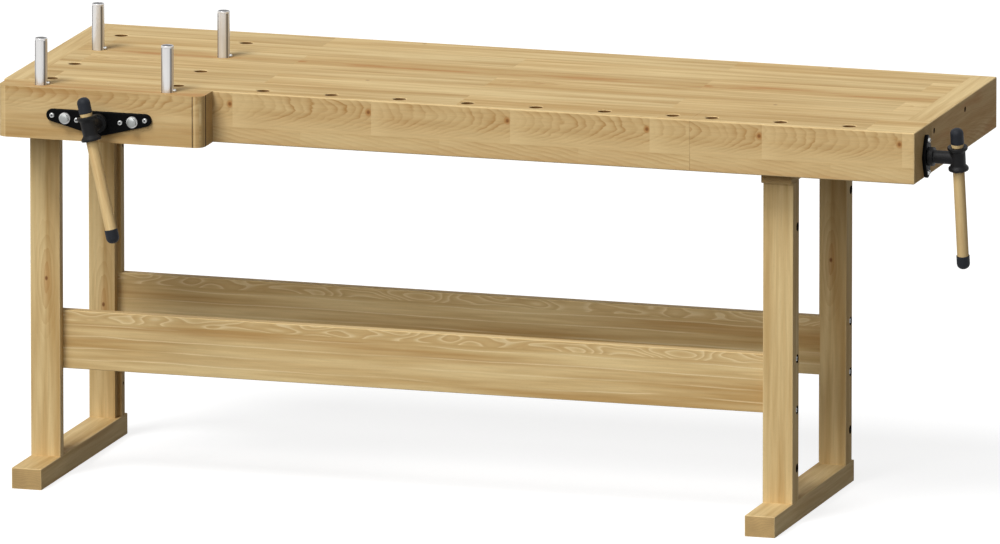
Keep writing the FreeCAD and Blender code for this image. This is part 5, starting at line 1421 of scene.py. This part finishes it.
@shared_group(
    "Vise screw thread",
    [
        ("Geometry", GEOMETRY, None),
        ("Radius", FLOAT, 0.012),
        ("Depth", FLOAT, 0.002),
        ("Pitch", FLOAT, 0.006),
        ("Length", FLOAT, 0.4),
        ("Material", MATERIAL, None),
    ],
    [("Geometry", GEOMETRY)],
    "GeometryNodeTree",
)
def thread_tree(wiring, source, sink):
    """Geometry nodes that wind a rounded thread around a core, along Z from 0 to a length."""
    core = wiring.math("SUBTRACT", source["Radius"], source["Depth"])
    wound = wiring.math("SUBTRACT", source["Length"], wiring.times(source["Pitch"], 2.0))
    turns = wiring.math("DIVIDE", wound, source["Pitch"])
    inputs = {"Resolution": 28, "Rotations": turns, "Start Radius": core, "End Radius": core}
    inputs["Height"] = wound
    helix = wiring.add("GeometryNodeCurveSpiral", inputs).outputs[0]
    upright = wiring.add("GeometryNodeSetCurveNormal", {0: helix}, mode="Z_UP").outputs[0]
    inputs = {"Resolution": 6, "Radius": source["Depth"]}
    ridge = wiring.add("GeometryNodeCurvePrimitiveCircle", inputs)
    thread = wiring.add(
        "GeometryNodeCurveToMesh",
        {"Curve": upright, "Profile Curve": ridge.outputs[0], "Fill Caps": True},
    ).outputs[0]
    lift = wiring.add("ShaderNodeCombineXYZ", {2: source["Pitch"]}).outputs[0]
    inputs = {"Geometry": thread, "Translation": lift}
    thread = wiring.add("GeometryNodeTransform", inputs).outputs[0]
    body = rod(wiring, 40, core, core, source["Length"], 0.0)
    finish_tree(wiring, sink, join(wiring, [thread, body]), source["Material"])


class BENCH_OT_vise_screws(Operator):
    """Cut the threads of the two vise screws"""

    bl_idname = "bench.vise_screws"
    bl_label = "Vise screws"

    def execute(self, context):
        """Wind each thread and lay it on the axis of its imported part."""
        metal = context.scene.bench_metal
        for node, axis in (("front_screw", Y), ("tail_screw", X)):
            low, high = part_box(node)
            start = (low + high) / 2
            start[axis] = low[axis]
            way = [0.0, 0.0, 0.0]
            way[axis] = 1.0
            name = f"{node}_thread"
            mesh = bpy.data.meshes.new(name)
            piece = new_object(name, mesh, ["Turned steel"])
            modifier = piece.modifiers.new("Thread", "NODES")
            modifier.node_group = thread_tree()
            radius = (high[Z] - low[Z]) / 2
            values = {"Radius": radius, "Depth": metal.thread_depth, "Pitch": metal.pitch}
            values.update({"Length": (high - low)[axis], "Material": shop_material("Turned steel")})
            set_inputs(modifier, values)
            plain(piece)
            piece.data.transform(along_axis(start, way))
            stand_for(piece, node)
        return {"FINISHED"}


# ---------------------------------------------------------------------------------------------
# Handles and dogs
# ---------------------------------------------------------------------------------------------

HANDLES = {
    "front": ("front_handle_slide", "front_screw_turn"),
    "tail": ("tail_handle_slide", "tail_screw_turn"),
}
# Along a handle from the middle of its cross socket
COLLAR_START = 0.0263
CAP_START = 0.0328
HANDLE_TOP = 0.0668
HANDLE_BOTTOM = -0.2492
LOW_CAP_END = -0.2192
CAP_FLOOR = 0.008
TENON_LOW = HANDLE_BOTTOM + CAP_FLOOR
TENON_HIGH = HANDLE_TOP - CAP_FLOOR
# Softened lip of a cap
CAP_LIP = 0.0008


class BENCH_OT_handles(Operator):
    """Turn the wooden handles and mould their rubber caps"""

    bl_idname = "bench.handles"
    bl_label = "Handles"

    def execute(self, context):
        """Turn each handle and its caps along the axis on which it slides."""
        size = context.scene.bench_turned
        rod_radius, tenon, collar = size.handle_radius, size.handle_tenon, size.handle_collar
        for side, (slide, hinge) in HANDLES.items():
            matrix = along_axis(JOINTS[hinge]["pos_m"], JOINTS[slide]["axis"])
            profile = [(0, TENON_LOW), (tenon, TENON_LOW)]
            profile += [(tenon, LOW_CAP_END), (rod_radius, LOW_CAP_END)]
            profile += [(rod_radius, COLLAR_START - 0.0002), (collar - 0.0006, COLLAR_START)]
            profile += rounded(collar, CAP_START, 0.0012, 4)
            profile += [(tenon, CAP_START), (tenon, TENON_HIGH), (0, TENON_HIGH)]
            mesh = turned(f"{side}_handle_turned", profile)
            mesh.transform(matrix)
            piece = new_object(f"{side}_handle_turned", mesh, ["Beech handle"])
            stand_for(smooth(piece), f"{side}_handle")

            node = f"{side}_handle_caps"
            cap, cap_round = size.cap_radius, size.cap_round
            low = rounded(cap, HANDLE_BOTTOM, cap_round, 10, up=False)
            profile = [(0, HANDLE_BOTTOM), *low]
            profile += [(cap, LOW_CAP_END - CAP_LIP), (cap - CAP_LIP, LOW_CAP_END)]
            profile += [(tenon, LOW_CAP_END), (tenon, TENON_LOW), (0, TENON_LOW)]
            caps = bmesh.new()
            caps.from_mesh(turned(f"{node}_low", profile))
            profile = [(0, TENON_HIGH), (tenon, TENON_HIGH), (tenon, CAP_START)]
            profile += [(cap - CAP_LIP, CAP_START), (cap, CAP_START + CAP_LIP)]
            profile += [*rounded(cap, HANDLE_TOP, cap_round, 10), (0, HANDLE_TOP)]
            caps.from_mesh(turned(f"{node}_high", profile))
            mesh = bpy.data.meshes.new(f"{node}_moulded")
            caps.to_mesh(mesh)
            caps.free()
            mesh.transform(matrix)
            piece = new_object(f"{node}_moulded", mesh, ["Black rubber"])
            stand_for(smooth(piece), node)
        return {"FINISHED"}


DOGS = ("left_jaw_dog", "right_jaw_dog", "left_top_dog", "right_top_dog")
# Corners of the groove of a dog, below its top
GROOVE_DROPS = (0.006, 0.0056, 0.0048, 0.0044)
# The dish in a dog's head: its rim and its floor inwards from the side, and its depth
DISH_RIM = 0.002
DISH_FLOOR = 0.0026
DISH_DEPTH = 0.0005
# The painted dark bands on a dog's sides end this far below its top
SHADE_BAND_END = 0.0055


def paint_shade_bands(mesh, turn, width):
    """Mark bands of painted shade on a dog's sides, and give its ends the second slot."""
    mark = mesh.attributes.new(SHADE_BANDS, "FLOAT", "POINT")
    points = vectors(mesh.vertices, "co")
    side = np.arctan2(np.abs(points[:, Y]), np.abs(points[:, X]))
    depth = np.clip(1 - np.abs(side - turn) / width, 0, 1)
    depth[points[:, Z] > points[:, Z].max() - SHADE_BAND_END] = 0.0
    mark.data.foreach_set("value", depth.astype(np.float32))
    normals = vectors(mesh.polygons, "normal")
    mesh.polygons.foreach_set("material_index", (np.abs(normals[:, Z]) > 0.9).astype(np.int32))


class BENCH_OT_dogs(Operator):
    """Turn the four bench dogs and their stop pins"""

    bl_idname = "bench.dogs"
    bl_label = "Bench dogs"

    def execute(self, context):
        """Turn each dog with a chamfered head and a groove below it, and give it its pin."""
        size = context.scene.bench_turned
        radius, chamfer, groove = size.dog_radius, size.dog_chamfer, size.dog_groove
        for node in DOGS:
            low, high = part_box(node)
            foot, head = low.z, high.z
            middle = (low + high) / 2
            profile = [(0, foot), (radius - chamfer, foot), (radius, foot + chamfer)]
            sides = (radius, radius - groove, radius - groove, radius)
            profile += [(side, head - drop) for side, drop in zip(sides, GROOVE_DROPS)]
            profile += [(radius, head - chamfer), (radius - chamfer, head)]
            profile += [(radius - DISH_RIM, head), (radius - DISH_FLOOR, head - DISH_DEPTH)]
            profile.append((0, head - DISH_DEPTH))
            mesh = turned(f"{node}_turned", profile)
            paint_shade_bands(mesh, size.shade_band_angle, size.shade_band_width)
            mesh.transform(Matrix.Translation((middle.x, middle.y, 0)))
            piece = new_object(f"{node}_turned", mesh, ["Bright steel", "Oily steel"])
            stand_for(smooth(piece), node)

            pin = f"{node}_pin"
            low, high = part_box(pin)
            ball = (high.z - low.z) / 2
            reach = high.x - low.x
            profile = [(0, 0), (0.8 * ball, 0), (0.8 * ball, reach - 1.6 * ball)]
            for i in range(12):
                angle = -0.22 * math.pi + (0.72 * math.pi) * i / 11
                profile.append((ball * math.cos(angle), reach - ball + ball * math.sin(angle)))
            profile[-1] = (0, reach)
            mesh = turned(f"{pin}_turned", profile)
            start = (low.x, (low.y + high.y) / 2, (low.z + high.z) / 2)
            mesh.transform(along_axis(start, (1, 0, 0)))
            piece = new_object(f"{pin}_turned", mesh, ["Zinc plated steel"])
            stand_for(smooth(piece), pin)
        return {"FINISHED"}


# ---------------------------------------------------------------------------------------------
# Stage
# ---------------------------------------------------------------------------------------------


def seen_directly(wiring):
    """1 for rays from the camera, from a mirror or through glass."""
    path = wiring.add("ShaderNodeLightPath").outputs
    first = wiring.math("MAXIMUM", path["Is Camera Ray"], path["Is Glossy Ray"])
    return wiring.math("MAXIMUM", first, path["Is Transmission Ray"])


class BENCH_OT_stage(Operator):
    """Set up the floor, the light and the camera"""

    bl_idname = "bench.stage"
    bl_label = "Floor, light and camera"

    def execute(self, context):
        """Build the white floor and sky, the key light and the camera."""
        scene = context.scene
        stage = scene.bench_stage
        half = stage.floor_size / 2
        mesh = bpy.data.meshes.new("floor")
        corners = [(-half, -half, 0), (half, -half, 0), (half, half, 0), (-half, half, 0)]
        mesh.from_pydata(corners, [], [(0, 1, 2, 3)])
        floor = bpy.data.objects.new("floor", mesh)
        scene.collection.objects.link(floor)
        material = bpy.data.materials.new("Pale floor")
        material.use_nodes = True
        material.node_tree.nodes.clear()
        wiring = Wiring(material.node_tree)
        direct = seen_directly(wiring)
        tone = stage.floor_tone
        matt = wiring.add("ShaderNodeBsdfDiffuse", {"Color": (tone, tone, tone, 1)}).outputs[0]
        pale = wiring.add("ShaderNodeBsdfDiffuse", {"Color": (0.35, 0.35, 0.35, 1)}).outputs[0]
        glow = wiring.add("ShaderNodeEmission", {"Strength": stage.floor_glow}).outputs[0]
        white = wiring.add("ShaderNodeAddShader", {0: pale, 1: glow}).outputs[0]
        mixed = wiring.add("ShaderNodeMixShader", {0: direct, 1: matt, 2: white}).outputs[0]
        wiring.add("ShaderNodeOutputMaterial", {"Surface": mixed})
        mesh.materials.append(material)

        world = bpy.data.worlds.new("White studio")
        world.use_nodes = True
        world.node_tree.nodes.clear()
        wiring = Wiring(world.node_tree)
        direct = seen_directly(wiring)
        fill = wiring.add("ShaderNodeBackground", {"Color": (1, 1, 1, 1), "Strength": stage.fill})
        white = wiring.add("ShaderNodeBackground", {"Color": (1, 1, 1, 1), "Strength": 1.0})
        inputs = {0: direct, 1: fill.outputs[0], 2: white.outputs[0]}
        mixed = wiring.add("ShaderNodeMixShader", inputs)
        wiring.add("ShaderNodeOutputWorld", {"Surface": mixed.outputs[0]})
        scene.world = world

        for name, energy, heading, spread in (
            ("key_light", stage.key, stage.key_from, stage.key_spread),
            ("front_light", stage.front, stage.front_from, stage.front_spread),
        ):
            lamp = bpy.data.lights.new(name, "SUN")
            lamp.energy = energy
            lamp.angle = spread
            sun = bpy.data.objects.new(name, lamp)
            sun.rotation_euler = Vector(heading).to_track_quat("Z", "Y").to_euler()
            scene.collection.objects.link(sun)

        data = bpy.data.cameras.new("camera")
        data.sensor_width = 36.0
        data.sensor_fit = "HORIZONTAL"
        data.lens = stage.lens
        distance = stage.lens / data.sensor_width * stage.view_width
        data.clip_start = 1.0
        data.clip_end = 250.0
        level = math.cos(stage.rise)
        back = Vector(
            (math.sin(stage.turn) * level, -math.cos(stage.turn) * level, math.sin(stage.rise))
        )
        camera = bpy.data.objects.new("camera", data)
        camera.location = Vector(stage.aim) + distance * back
        camera.rotation_euler = back.to_track_quat("Z", "Y").to_euler()
        scene.collection.objects.link(camera)
        scene.camera = camera
        scene.view_settings.view_transform = "Standard"
        return {"FINISHED"}


# ---------------------------------------------------------------------------------------------
# Panel and registration
# ---------------------------------------------------------------------------------------------

STEPS = (
    BENCH_OT_stage,
    BENCH_OT_wood,
    BENCH_OT_castings,
    BENCH_OT_flanges,
    BENCH_OT_screws,
    BENCH_OT_vise_screws,
    BENCH_OT_handles,
    BENCH_OT_dogs,
)
SETTINGS = {
    "bench_wood": BenchWood,
    "bench_metal": BenchMetal,
    "bench_turned": BenchTurned,
    "bench_stage": BenchStage,
}


class BENCH_PT_panel(Panel):
    """Settings and steps of the bench"""

    bl_idname = "BENCH_PT_panel"
    bl_label = "Woodworking bench"
    bl_space_type = "VIEW_3D"
    bl_region_type = "UI"
    bl_category = "Bench"

    def draw(self, context):
        """List the settings of each group, and then the steps."""
        for name in SETTINGS:
            box = self.layout.box()
            group = getattr(context.scene, name)
            for key in group.bl_rna.properties.keys():
                if key not in ("rna_type", "name"):
                    box.prop(group, key)
        for step in STEPS:
            self.layout.operator(step.bl_idname)


def register():
    """Register the settings, the steps and the panel."""
    for kind in (*SETTINGS.values(), *STEPS, BENCH_PT_panel):
        bpy.utils.register_class(kind)
    for name, kind in SETTINGS.items():
        setattr(bpy.types.Scene, name, PointerProperty(type=kind))


def unregister():
    """Take the settings, the steps and the panel back out."""
    for name in SETTINGS:
        delattr(bpy.types.Scene, name)
    for kind in reversed((*SETTINGS.values(), *STEPS, BENCH_PT_panel)):
        bpy.utils.unregister_class(kind)


def main():
    """Build the whole scene step by step."""
    register()
    for step in STEPS:
        group, name = step.bl_idname.split(".")
        getattr(getattr(bpy.ops, group), name)()


if __name__ == "__main__":
    main()
